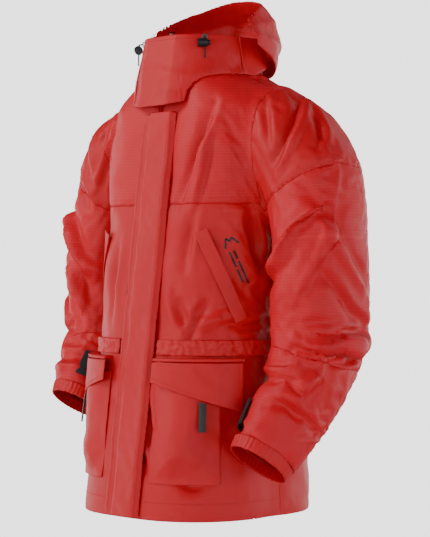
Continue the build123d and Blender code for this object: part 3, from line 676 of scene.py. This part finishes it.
def weaveGroup():
    # fine twill, a ripstop grid and slow cloud-like unevenness, as heights and a shade
    tree, source, sink = group(
        "weave",
        [
            ("thread", "NodeSocketFloat", 0.0011),
            ("grid", "NodeSocketFloat", 0.0),
            ("gridSize", "NodeSocketFloat", 0.0052),
        ],
        [("height", "NodeSocketFloat"), ("shade", "NodeSocketFloat")],
    )
    uv = tree.nodes.new("ShaderNodeUVMap")
    uv.uv_map = "cloth"
    split = tree.nodes.new("ShaderNodeSeparateXYZ")
    tree.links.new(uv.outputs[0], split.inputs[0])
    u, v = split.outputs[0], split.outputs[1]
    turns = mathNode(tree, "DIVIDE", 2 * math.pi, source.outputs["thread"])
    a = mathNode(tree, "SINE", mathNode(tree, "MULTIPLY", mathNode(tree, "ADD", u, v), turns))
    b = mathNode(tree, "SINE", mathNode(tree, "MULTIPLY", mathNode(tree, "SUBTRACT", u, v), turns))
    twill = mathNode(tree, "MULTIPLY", a, b)
    lines = []
    for way, weight in ((v, 1.0), (u, 0.45)):
        cell = mathNode(tree, "PINGPONG", mathNode(tree, "DIVIDE", way, source.outputs["gridSize"]), 0.5)
        line = tree.nodes.new("ShaderNodeMapRange")
        line.interpolation_type = "SMOOTHSTEP"
        line.inputs["From Min"].default_value = 0.17
        line.inputs["From Max"].default_value = 0.02
        tree.links.new(cell, line.inputs["Value"])
        lines.append(mathNode(tree, "MULTIPLY", line.outputs[0], weight))
    ripstop = mathNode(tree, "MULTIPLY", mathNode(tree, "MAXIMUM", *lines), source.outputs["grid"])
    cloud = tree.nodes.new("ShaderNodeTexNoise")
    cloud.inputs["Scale"].default_value = 16
    cloud.inputs["Detail"].default_value = 4
    place = tree.nodes.new("ShaderNodeTexCoord")
    tree.links.new(place.outputs["Object"], cloud.inputs["Vector"])
    height = mathNode(tree, "ADD", mathNode(tree, "MULTIPLY", twill, 0.25), ripstop)
    tree.links.new(height, sink.inputs["height"])
    shade = mathNode(tree, "MULTIPLY_ADD", mathNode(tree, "SUBTRACT", cloud.outputs[0], 0.5), 0.16, 1.0)
    tree.links.new(mathNode(tree, "MULTIPLY_ADD", ripstop, 0.16, shade), sink.inputs["shade"])
    return tree


weave = weaveGroup()


def material(
    name, colour, roughness, grid=None, sheen=0.0, metallic=0.0, grain=0.0,
    thread=0.0011, bump=0.25, specular=0.3,
):
    mat = bpy.data.materials.new(name)
    mat.use_nodes = True
    tree = mat.node_tree
    shader = tree.nodes["Principled BSDF"]
    shader.inputs["Base Color"].default_value = (*colour, 1)
    shader.inputs["Roughness"].default_value = roughness
    shader.inputs["Metallic"].default_value = metallic
    shader.inputs["Specular IOR Level"].default_value = 0.5 if metallic else specular
    shader.inputs["Sheen Weight"].default_value = sheen
    shader.inputs["Sheen Roughness"].default_value = 0.4
    shader.inputs["Sheen Tint"].default_value = (*[min(1, c * 1.3 + 0.1) for c in colour], 1)
    relief = tree.nodes.new("ShaderNodeBump")
    relief.inputs["Strength"].default_value = bump
    relief.inputs["Distance"].default_value = 0.0004
    tree.links.new(relief.outputs[0], shader.inputs["Normal"])
    mix = tree.nodes.new("ShaderNodeMix")
    mix.data_type = "RGBA"
    mix.blend_type = "MULTIPLY"
    mix.inputs["Factor"].default_value = 1
    mix.inputs["A"].default_value = (*colour, 1)
    tree.links.new(mix.outputs["Result"], shader.inputs["Base Color"])
    if grid is not None:
        node = tree.nodes.new("ShaderNodeGroup")
        node.node_tree = weave
        node.inputs["thread"].default_value = thread
        node.inputs["grid"].default_value = grid
        tree.links.new(node.outputs["height"], relief.inputs["Height"])
        tree.links.new(node.outputs["shade"], mix.inputs["B"])
    else:
        speckle = tree.nodes.new("ShaderNodeTexNoise")
        speckle.inputs["Scale"].default_value = grain or 400
        speckle.inputs["Detail"].default_value = 5
        place = tree.nodes.new("ShaderNodeTexCoord")
        tree.links.new(place.outputs["Object"], speckle.inputs["Vector"])
        tree.links.new(speckle.outputs[0], relief.inputs["Height"])
        tree.links.new(mathNode(tree, "MULTIPLY_ADD", speckle.outputs[0], 0.3, 0.85), mix.inputs["B"])
    return mat


red = (0.52, 0.0010, 0.0075)
materials = {
    "shell": material("shellFabric", red, 0.52, grid=0.0, sheen=0.04),
    "ripstop": material("ripstopFabric", (0.54, 0.0018, 0.0100), 0.52, grid=1.0, sheen=0.06),
    "inside": material("innerFace", (0.40, 0.006, 0.010), 0.65, grid=0.0, thread=0.0016),
    "thread": material("thread", (0.50, 0.004, 0.009), 0.6),
    "webbing": material("webbing", (0.012, 0.012, 0.013), 0.65, grid=0.0, thread=0.0018, bump=0.6),
    "hook": material("hookAndLoop", (0.008, 0.008, 0.009), 0.9, grain=2200, bump=1.0),
    "zip": material("zipPlastic", (0.45, 0.006, 0.012), 0.35, grain=900),
    "metal": material("darkMetal", (0.06, 0.06, 0.065), 0.35, metallic=1.0, grain=500, bump=0.1),
    "plastic": material("lockPlastic", (0.012, 0.012, 0.013), 0.38, grain=700, bump=0.15),
    "rubber": material("pullRubber", (0.022, 0.022, 0.024), 0.55, grain=1500, bump=0.3),
    "cord": material("cordSheath", (0.012, 0.012, 0.013), 0.7, grain=1800, bump=0.8),
}


def stripedLining():
    mat = material("stripedLining", (0.7, 0.7, 0.7), 0.6)
    tree = mat.node_tree
    place = tree.nodes.new("ShaderNodeTexCoord")
    split = tree.nodes.new("ShaderNodeSeparateXYZ")
    tree.links.new(place.outputs["Object"], split.inputs[0])
    wave = mathNode(tree, "SINE", mathNode(tree, "MULTIPLY", split.outputs[2], 900))
    ramp = tree.nodes.new("ShaderNodeValToRGB")
    ramp.color_ramp.interpolation = "CONSTANT"
    ramp.color_ramp.elements[0].color = (0.01, 0.01, 0.012, 1)
    ramp.color_ramp.elements[1].color = (0.72, 0.72, 0.70, 1)
    ramp.color_ramp.elements[1].position = 0.55
    tree.links.new(mathNode(tree, "MULTIPLY_ADD", wave, 0.5, 0.5), ramp.inputs[0])
    mix = next(n for n in tree.nodes if n.type == "MIX")
    tree.links.new(ramp.outputs[0], mix.inputs["A"])
    return mat


materials["striped"] = stripedLining()


def dressed(obj, *names):
    obj.data.materials.clear()
    for name in names:
        obj.data.materials.append(materials[name])
    return obj


def thickened(obj, thickness, innerMaterial=1):
    solid = obj.modifiers.new("cloth thickness", "SOLIDIFY")
    solid.thickness = thickness
    solid.offset = -1
    solid.use_even_offset = False
    solid.material_offset = innerMaterial
    return applied(obj)


clothSeams = {"thickness": 0.0014, "dip": 0.0012, "reach": 0.006, "pucker": 0.0010, "puckerReach": 0.020}


def seamDips(obj):
    # the cloth sinks a little into each seam and puckers beside it
    mesh = obj.data
    counts = np.zeros(len(mesh.edges), dtype=int)
    loops = np.empty(len(mesh.loops), dtype=np.int64)
    mesh.loops.foreach_get("edge_index", loops)
    counts += np.bincount(loops, minlength=len(mesh.edges))
    edges = np.empty(len(mesh.edges) * 2, dtype=np.int64)
    mesh.edges.foreach_get("vertices", edges)
    rim = np.unique(edges.reshape(-1, 2)[counts == 1])
    points, normals = coordinates(mesh), vertexNormals(mesh)
    tree = KDTree(len(rim))
    for i in rim:
        tree.insert(Vector(points[i]), int(i))
    tree.balance()
    gap = np.array([tree.find(Vector(p))[2] for p in points])
    pucker = noiseAt(points, 0.011, 9) * np.exp(-((gap - 0.006) / clothSeams["puckerReach"]) ** 2)
    move = -clothSeams["dip"] * np.exp(-(gap / clothSeams["reach"]) ** 2) + clothSeams["pucker"] * pucker
    setCoordinates(mesh, points + normals * move[:, None])


replacedBy = {
    "front_left": ["front_panel_left"], "front_right": ["front_panel_right"],
    "yoke_left": ["front_yoke_left"], "yoke_right": ["front_yoke_right"],
    "back": ["back_panel"], "back_yoke": ["back_yoke"],
    "cap_left": ["shoulder_cap_left"], "cap_right": ["shoulder_cap_right"],
    "sleeve_left": ["upper_sleeve_left"], "sleeve_right": ["upper_sleeve_right"],
    "forearm_left": ["forearm_left"], "forearm_right": ["forearm_right"],
}
for key, obj in garmentPieces.items():
    kind = "sleeve" if key.startswith(("sleeve", "forearm")) else "body"
    seamDips(obj)
    clothLayout(obj, kind)
    ofRipstop = key.startswith(("yoke", "sleeve", "forearm", "back_yoke"))
    dressed(obj, "ripstop" if ofRipstop else "shell", "inside")
    thickened(obj, clothSeams["thickness"])
    smoothShaded(obj)
    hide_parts(*replacedBy[key])
    side = key.split("_")[-1]
    sign = 1 if side == "left" else -1
    if key.startswith("sleeve"):
        at, down = cuts["armhole"][sign]
        end = np.array(at) + np.array(down) * 0.11
        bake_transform(obj)
    elif key.startswith("forearm"):
        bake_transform(obj)
    else:
        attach(obj, "shell")
print("garment dressed")


def copyOf(*names):
    bm = bmesh.new()
    for name in names:
        node = cadNodes[name]
        first = len(bm.verts)
        bm.from_mesh(node.data)
        bm.verts.ensure_lookup_table()
        for v in bm.verts[first:]:
            v.co = node.matrix_world @ v.co
    bmesh.ops.remove_doubles(bm, verts=bm.verts, dist=1e-5)
    bmesh.ops.recalc_face_normals(bm, faces=bm.faces)
    mesh = bpy.data.meshes.new(names[0])
    bm.to_mesh(mesh)
    bm.free()
    obj = bpy.data.objects.new("cloth_" + names[0], mesh)
    scene.collection.objects.link(obj)
    return obj


def soft(
    names, voxel, rounds=3, wave=(0.05, 0.002), fine=(0.014, 0.0005), strokes=(), radial=True,
    bodyName="shell", look="shell", ridden=True, fatten=0, drawIn=0, shape=None,
):
    # a CAD piece of cloth with rounded edges, and slow waves that move both its faces together
    names = [names] if isinstance(names, str) else names
    obj = copyOf(*names)
    if fatten:
        skin = obj.modifiers.new("fatten", "SOLIDIFY")
        skin.thickness = fatten
        skin.offset = 0
        applied(obj)
    box = obj.modifiers.new("remesh", "REMESH")
    box.mode = "VOXEL"
    box.voxel_size = voxel
    applied(obj)
    if shape:
        shape(obj)
    smoothed(obj, rounds)
    points = coordinates(obj.data)
    outward = points * [1, 1, 0] - [0, -0.03, 0]
    if not radial:
        outward = points - [0, 0.01, 0.04]
    outward /= np.linalg.norm(outward, axis=1)[:, None] + 1e-9
    seed = sum(map(ord, names[0])) % 17
    move = wave[1] * noiseAt(points, wave[0], seed) + fine[1] * noiseAt(points, fine[0], seed + 2)
    setCoordinates(obj.data, points + outward * (move - drawIn)[:, None])
    if strokes:
        tree = treeOf(obj)
        for azimuth, width, height, line in strokes:
            points = coordinates(obj.data)
            path = castStroke(tree, azimuth, line)
            if len(path) > 2:
                offset = foldOffsets(points, outward, smoothedLine(path), width, height)
                setCoordinates(obj.data, points + outward * offset[:, None])
    clothLayout(obj)
    smoothShaded(obj)
    dressed(obj, look)
    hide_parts(*names)
    if ridden:
        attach(obj, bodyName)
    return obj


bagShape = {"rim": 0.06, "floor": 0.12}  # how far in from its edge a pocket bag reaches its full depth


def pillowed(obj):
    # flatter towards the bag's edges, so that it reads as cloth sewn onto the panel
    points = coordinates(obj.data)
    centre, turn = np.array([0.0435, -0.0584]), math.radians(36)
    sign = 1 if points[:, 0].mean() > 0 else -1
    q = points * [sign, 1, 1]
    out = np.array([math.sin(turn), -math.cos(turn)])
    across = np.array([math.cos(turn), math.sin(turn)])
    flat = q[:, :2] - centre
    s, n = flat @ across, flat @ out
    # the panel behind is a round of this radius about the same centre
    radius = 0.136 - 0.133 * (q[:, 2] + 0.59)
    reach = np.hypot(s, n)
    inner = np.minimum(reach, radius)
    edge = np.minimum.reduce([s - s.min(), s.max() - s, q[:, 2] - q[:, 2].min()])
    keep = bagShape["floor"] + (1 - bagShape["floor"]) * smoothStep(0, bagShape["rim"], edge)
    flatter = inner + (reach - inner) * keep
    q[:, :2] = centre + flat * (flatter / reach)[:, None]
    setCoordinates(obj.data, q * [sign, 1, 1])


gathers = {"count": 44, "height": 0.0016}


def gathered(obj):
    # the elastic draws the cuff into ridges that run along the sleeve, strongest at the back of the hand
    points = coordinates(obj.data)
    sign = 1 if points[:, 0].mean() > 0 else -1
    centre = points.mean(0)
    along = unit(cuts["cuff"][sign][1])
    across = unit(np.cross([0, 1, 0], along))
    deep = np.cross(along, across)
    gap = points - centre
    x, y = gap @ across, gap @ deep
    angle = np.arctan2(y, x)
    size = np.hypot(x, y)[:, None]
    outward = (x[:, None] * across + y[:, None] * deep) / size
    strength = 0.45 + 0.55 * smoothStep(-0.3, 0.6, np.cos(angle))
    uneven = noiseAt(points, 0.012, 4) * 2.0
    move = gathers["height"] * strength * np.sin(gathers["count"] * angle + uneven)
    setCoordinates(obj.data, points + outward * move[:, None])


chinFolds = [
    (45, 0.014, 0.003, [(-0.120, 0.010), (-0.050, -0.004), (0.020, 0.012)]),
    (45, 0.012, -0.0025, [(0.060, 0.030), (0.010, -0.018), (-0.010, -0.045)]),
    (45, 0.016, 0.003, [(-0.100, -0.040), (-0.040, -0.034), (0.010, -0.040)]),
]
hoodFolds = [
    (45, 0.010, -0.004, [(0.072, 0.100), (0.064, 0.050), (0.080, 0.020)]),
    (45, 0.012, 0.004, [(0.050, 0.090), (0.045, 0.045), (0.060, 0.015)]),
    (45, 0.012, 0.003, [(0.085, 0.090), (0.095, 0.050), (0.100, 0.020)]),
    (45, 0.010, -0.003, [(0.020, 0.075), (0.050, 0.030)]),
    (135, 0.014, -0.004, [(-0.080, 0.100), (-0.020, 0.050), (0.050, 0.030)]),
    (180, 0.014, 0.004, [(-0.080, 0.030), (0.000, 0.055), (0.080, 0.030)]),
    (180, 0.014, -0.004, [(-0.070, 0.090), (0.000, 0.075), (0.070, 0.095)]),
]
flapFolds = [(45, 0.010, -0.0015, [(-0.030, -0.520), (0.020, -0.560)])]

soft("stand_collar", 0.0017, look="shell")
soft("storm_collar", 0.0018, wave=(0.06, 0.003))
chinGuard = soft("chin_guard", 0.0018, wave=(0.07, 0.0035), strokes=chinFolds, ridden=False)
hoodNodes = ["hood_shell", "hood_brim"]
hoodShell = soft(hoodNodes, 0.0020, wave=(0.055, 0.005), strokes=hoodFolds, radial=False, ridden=False)
soft("hood_stripe", 0.0012, wave=(0.05, 0.001), radial=False, bodyName="hood", look="striped")
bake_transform(hoodShell)
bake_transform(chinGuard)
placket = soft("placket", 0.0016, wave=(0.045, 0.0030), fine=(0.016, 0.0009), bodyName="placket")
flaps = {}
soft("hem_facing", 0.0022, wave=(0.06, 0.001), look="inside", drawIn=0.005)
soft("rear_pocket", 0.0024, wave=(0.05, 0.002))
for side in ("left", "right"):
    soft(f"pocket_bag_{side}", 0.0021, rounds=8, wave=(0.06, 0.004), fine=(0.02, 0.0010), shape=pillowed)
    soft(f"pocket_header_{side}", 0.0018, wave=(0.05, 0.001))
    flapBody = f"pocket_flap_{side}"
    flaps[side] = soft(flapBody, 0.0012, wave=(0.06, 0.0012), strokes=flapFolds, bodyName=flapBody)
    soft(f"chest_welt_{side}", 0.0011, rounds=2, wave=(0.04, 0.0008), fine=(0.012, 0.0003))
    soft(f"cuff_{side}", 0.0019, wave=(0.02, 0.0003), bodyName=f"forearm_{side}", shape=gathered)
    soft(f"cuff_landing_{side}", 0.0012, look="hook", wave=(0.02, 0.0001), bodyName=f"forearm_{side}")
soft("waist_casing", 0.0016, rounds=2, wave=(0.05, 0.001), fine=(0.009, 0.0022), fatten=0.0022)
print("cloth pieces made")


def hard(name, look, bevel=0.0004, bodyName="shell"):
    # a CAD piece with rounded edges
    obj = copyOf(name)
    obj.name = "part_" + name
    edge = obj.modifiers.new("bevel", "BEVEL")
    edge.width = bevel
    edge.segments = 2
    edge.limit_method = "ANGLE"
    edge.angle_limit = math.radians(35)
    applied(obj)
    smoothShaded(obj)
    obj.data.set_sharp_from_angle(angle=math.radians(50))
    clothLayout(obj)
    dressed(obj, look)
    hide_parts(name)
    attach(obj, bodyName)
    return obj


hard("zip_box", "zip")
hard("zip_slider", "metal", bodyName="zip_slider")
hard("zip_pull", "rubber", bodyName="zip_pull")
hard("hanger_loop", "webbing")
hard("waist_drawcord", "cord", 0.0001)
hard("placket_hooks", "hook", bodyName="placket")
hard("placket_loops", "hook")
for side, lockBody in (("left", "chin_guard"), ("right", "shell")):
    hard(f"zip_tape_{side}", "zip", 0.0001)
    hard(f"zip_coil_{side}", "zip", 0.0003)
    hard(f"flap_pull_{side}", "rubber", 0.0006, f"flap_pull_{side}")
    hard(f"cuff_tab_{side}", "webbing", 0.0006, f"cuff_tab_{side}")
    hard(f"cord_lock_{side}", "plastic", 0.0006, lockBody)
    hard(f"lock_plunger_{side}", "plastic", 0.0005, f"lock_plunger_{side}")
    hard(f"lock_spring_{side}", "metal", 0.00005, lockBody)
    hard(f"eyelet_{side}", "metal", 0.0003, lockBody)
print("hard parts made")

lockCord = {
    "length": 0.0449,
    "diameter": 0.0026,
    "bend": 0.004,
    "route": ((0.0784, -0.0934, 0.054), (0.0846, -0.0994, 0.054), (0.0846, -0.0994, 0.016)),
}
for side, sign, cordBody in (("left", 1, "chin_guard"), ("right", -1, "shell")):
    curve = bpy.data.curves.new(f"lockCord_{side}", "CURVE")
    curve.dimensions = "3D"
    curve.bevel_depth = lockCord["diameter"] / 2
    curve.bevel_resolution = 4
    curve.use_fill_caps = True
    route = [np.array(p) * [sign, 1, 1] for p in lockCord["route"]]
    r = lockCord["bend"]
    back, down = unit(route[0] - route[1]), unit(route[2] - route[1])
    middle = route[1] + (back + down) * r
    bend = [middle - r * (down * math.cos(a) + back * math.sin(a)) for a in np.linspace(0, math.pi / 2, 9)]
    line = [route[0], *bend, route[2]]
    spline = curve.splines.new("POLY")
    spline.points.add(len(line) - 1)
    for point, where in zip(spline.points, line):
        point.co = (*where, 1)
    obj = bpy.data.objects.new(f"cord_lock_cord_{side}", curve)
    scene.collection.objects.link(obj)
    curve.materials.append(materials["cord"])
    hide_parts(f"lock_cord_{side}")
    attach(obj, cordBody)
print("cords made")


stitch = {"step": 0.0042, "length": 0.0029, "radius": 0.00034}


def stitchTree():
    # edges in, a row of small threads out
    tree = bpy.data.node_groups.new("stitchRow", "GeometryNodeTree")
    tree.interface.new_socket("Geometry", in_out="INPUT", socket_type="NodeSocketGeometry")
    for label in ("step", "length", "radius"):
        tree.interface.new_socket(label, in_out="INPUT", socket_type="NodeSocketFloat")
    tree.interface.new_socket("Geometry", in_out="OUTPUT", socket_type="NodeSocketGeometry")
    node = tree.nodes.new
    source, sink = node("NodeGroupInput"), node("NodeGroupOutput")
    curve, sampled = node("GeometryNodeMeshToCurve"), node("GeometryNodeResampleCurve")
    sampled.mode = "LENGTH"
    thread, onPoints = node("GeometryNodeMeshCylinder"), node("GeometryNodeInstanceOnPoints")
    thread.inputs["Vertices"].default_value = 6
    tangent, align = node("GeometryNodeInputTangent"), node("FunctionNodeAlignRotationToVector")
    align.axis = "Z"
    real, paint = node("GeometryNodeRealizeInstances"), node("GeometryNodeSetMaterial")
    paint.inputs["Material"].default_value = materials["thread"]
    link = tree.links.new
    link(source.outputs["Geometry"], curve.inputs["Mesh"])
    link(curve.outputs["Curve"], sampled.inputs["Curve"])
    link(source.outputs["step"], sampled.inputs["Length"])
    link(source.outputs["radius"], thread.inputs["Radius"])
    link(source.outputs["length"], thread.inputs["Depth"])
    link(sampled.outputs["Curve"], onPoints.inputs["Points"])
    link(thread.outputs["Mesh"], onPoints.inputs["Instance"])
    link(tangent.outputs["Tangent"], align.inputs["Vector"])
    link(align.outputs["Rotation"], onPoints.inputs["Rotation"])
    link(onPoints.outputs["Instances"], real.inputs["Geometry"])
    link(real.outputs["Geometry"], paint.inputs["Geometry"])
    link(paint.outputs["Geometry"], sink.inputs["Geometry"])
    return tree


stitchNodes = stitchTree()


def straightCast(tree, azimuth, points, step=0.003, lift=0.0002):
    # the line dropped straight back onto the surface, from this side
    a = math.radians(azimuth)
    across, facing = np.array([math.cos(a), math.sin(a), 0]), np.array([math.sin(a), -math.cos(a), 0])
    out = []
    for (u0, z0), (u1, z1) in zip(points, points[1:]):
        count = max(2, int(math.hypot(u1 - u0, z1 - z0) / step))
        for t in np.linspace(0, 1, count + 1):
            start = across * (u0 + (u1 - u0) * t) + facing * 2 + [0, 0, z0 + (z1 - z0) * t]
            hit = tree.ray_cast(Vector(start), Vector(-facing))
            out.append(np.array(hit[0]) + np.array(hit[1]) * lift if hit[0] else None)
    return out


def stitchRows(name, surface, rows, bodyName):
    tree = treeOf(surface)
    vertices, edges = [], []
    for azimuth, line in rows:
        last = None
        for p in straightCast(tree, azimuth, line):
            if p is None:
                last = None
                continue
            vertices.append(p)
            if last is not None and np.linalg.norm(p - vertices[last]) < 0.012:
                edges.append((last, len(vertices) - 1))
            last = len(vertices) - 1
    mesh = bpy.data.meshes.new(name)
    mesh.from_pydata([tuple(v) for v in vertices], edges, [])
    obj = bpy.data.objects.new("stitches_" + name, mesh)
    scene.collection.objects.link(obj)
    thread = obj.modifiers.new("row", "NODES")
    thread.node_group = stitchNodes
    for item in stitchNodes.interface.items_tree:
        if item.in_out == "INPUT" and item.name in stitch:
            thread[item.identifier] = stitch[item.name]
    applied(obj)
    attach(obj, bodyName)
    return obj


def seamPair(azimuth, line, gap=0.006):
    return [(azimuth, line), (azimuth, [(u, z + gap) for u, z in line])]


bodyRows = {
    "yoke_left": seamPair(40, [(-0.11, -0.234), (0.16, -0.234)]),
    "yoke_right": seamPair(-40, [(-0.16, -0.234), (0.11, -0.234)]),
    "back_yoke": seamPair(180, [(-0.17, -0.211), (0.17, -0.211)]),
    "front_left": [(45, [(-0.19, -0.744), (0.19, -0.744)])],
    "front_right": [(-45, [(-0.19, -0.744), (0.19, -0.744)])],
    "back": [(180, [(-0.165, -0.744), (0.165, -0.744)])],
}
for key, rows in bodyRows.items():
    stitchRows(key, garmentPieces[key], rows, "shell")
placketEdges = [(0, [(edge, -0.765), (edge, -0.095)]) for edge in (0.040, 0.034, -0.031)]
stitchRows("placket", placket, placketEdges, "placket")
guardEdge = [(-0.052, -0.055), (-0.052, 0.052), (0.090, 0.052)]
stitchRows("chin_guard", chinGuard, [(0, guardEdge)], "chin_guard")
for side, sign in (("left", 1), ("right", -1)):
    hem = [(-0.072, -0.534), (0.081, -0.583), (0.081, -0.512)]
    rows = [(36 * sign, [(sign * u, z) for u, z in hem])]
    stitchRows(f"flap_{side}", flaps[side], rows, f"pocket_flap_{side}")
    capRows = []
    for azimuth in (0, 45, 90, 135, 180):
        along = np.array([0.867 * sign, 0, 0.499])
        a = math.radians(azimuth * sign)
        line = []
        for t in (-0.10, 0.10):
            p = np.array([0.257 * sign, 0, -0.202]) + along * t
            line.append((p[0] * math.cos(a), p[2]))
        if abs(line[0][0] - line[1][0]) > 0.02:
            capRows.append((azimuth * sign, line))
    stitchRows(f"cap_{side}", garmentPieces[f"cap_{side}"], capRows, "shell")
print("stitched")

motif = {
    "start": (0.018, -0.300),
    "along": (0.413, -0.911),
    "across": (0.911, 0.413),
    "lift": 0.0006,
    # a zigzag of peaks, then bars: where each begins, where it ends and how far across it lies
    "peaks": [(0.016, 0.000), (0.000, 0.008), (0.008, 0.012), (0.002, 0.017), (0.016, 0.025)],
    "bars": ((0.024, 0.052, 0.004), (0.056, 0.080, 0.004), (0.024, 0.040, 0.012), (0.044, 0.086, 0.012)),
    "peakWidth": 0.0032,
    "barWidth": 0.0036,
}


def motifRibbon(tree, vertices, faces, line, width):
    # a printed bar or a bent line, laid on the chest
    for (a0, b0), (a1, b1) in zip(line, line[1:]):
        count = max(2, int(math.hypot(a1 - a0, b1 - b0) / 0.003))
        side = np.array([-(b1 - b0), a1 - a0]) / math.hypot(a1 - a0, b1 - b0) * width / 2
        previous = None
        for t in np.linspace(0, 1, count + 1):
            pair = []
            for way in (-1, 1):
                a, b = a0 + (a1 - a0) * t + side[0] * way, b0 + (b1 - b0) * t + side[1] * way
                uz = np.array(motif["start"]) + a * np.array(motif["along"]) + b * np.array(motif["across"])
                hit = straightCast(tree, 45, [tuple(uz), tuple(uz + 1e-4)], lift=motif["lift"])[0]
                pair.append(hit)
            if any(p is None for p in pair):
                previous = None
                continue
            vertices += pair
            now = len(vertices) - 2
            if previous is not None:
                faces.append((previous, now, now + 1, previous + 1))
            previous = now


chestTree = treeOf(garmentPieces["front_left"])
vertices, faces = [], []
motifRibbon(chestTree, vertices, faces, motif["peaks"], motif["peakWidth"])
for start, end, b in motif["bars"]:
    motifRibbon(chestTree, vertices, faces, [(start, b), (end, b)], motif["barWidth"])
chestPrint = meshObject("chest_print", vertices, faces)
outwards(chestPrint)
clothLayout(chestPrint)
dressed(chestPrint, "plastic")
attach(chestPrint, "shell")
print("motif laid")

studio = {"floor": -1.50, "key": 80, "fill": 5, "back": 14, "sky": 0.10, "horizon": 2.6}
bpy.ops.mesh.primitive_circle_add(vertices=96, radius=4, fill_type="NGON", location=(0, 0, studio["floor"]))
floor = bpy.context.object
floor.name = "floor"
floorLook = bpy.data.materials.new("floorLook")
floorLook.use_nodes = True
floorLook.node_tree.nodes["Principled BSDF"].inputs["Base Color"].default_value = (0.9, 0.9, 0.9, 1)
floorLook.node_tree.nodes["Principled BSDF"].inputs["Roughness"].default_value = 0.8
floor.data.materials.append(floorLook)

world = bpy.data.worlds.new("studio")
world.use_nodes = True
sky = world.node_tree
place, split = sky.nodes.new("ShaderNodeTexCoord"), sky.nodes.new("ShaderNodeSeparateXYZ")
sky.links.new(place.outputs["Generated"], split.inputs[0])
band = sky.nodes.new("ShaderNodeMapRange")
band.interpolation_type = "SMOOTHSTEP"
bandValues = {"From Min": 0.17, "From Max": 0.25, "To Min": studio["horizon"], "To Max": studio["sky"]}
for label, value in bandValues.items():
    band.inputs[label].default_value = value
sky.links.new(mathNode(sky, "ABSOLUTE", split.outputs[2]), band.inputs["Value"])
sky.nodes["Background"].inputs["Color"].default_value = (1, 1, 1, 1)
sky.links.new(band.outputs[0], sky.nodes["Background"].inputs["Strength"])
scene.world = world


def areaLight(name, where, target, size, power):
    data = bpy.data.lights.new(name, "AREA")
    data.size = size
    data.energy = power
    obj = bpy.data.objects.new(name, data)
    obj.location = where
    obj.rotation_euler = (Vector(target) - Vector(where)).to_track_quat("-Z", "Y").to_euler()
    scene.collection.objects.link(obj)
    return obj


areaLight("key", (-1.6, -2.6, 1.9), (0, 0, -0.3), 1.2, studio["key"])
areaLight("fill", (3.2, -1.2, 0.6), (0, 0, -0.4), 1.8, studio["fill"])
areaLight("rim", (0.5, 2.6, 1.6), (0, 0, -0.2), 1.5, studio["back"])

camera = bpy.data.objects.new("camera", bpy.data.cameras.new("camera"))
scene.collection.objects.link(camera)
viewpoint = {"azimuth": 45, "distance": 3.2, "height": -0.348, "aside": 0.007, "lens": 119.0}
turn = math.radians(viewpoint["azimuth"])
aside = np.array([math.cos(turn), math.sin(turn), 0]) * viewpoint["aside"]
camera.location = eyePoint(viewpoint["azimuth"], viewpoint["distance"], viewpoint["height"]) + aside
camera.rotation_euler = (math.pi / 2, 0, turn)
camera.data.lens = viewpoint["lens"]
camera.data.sensor_fit = "VERTICAL"
camera.data.sensor_height = 36
scene.camera = camera
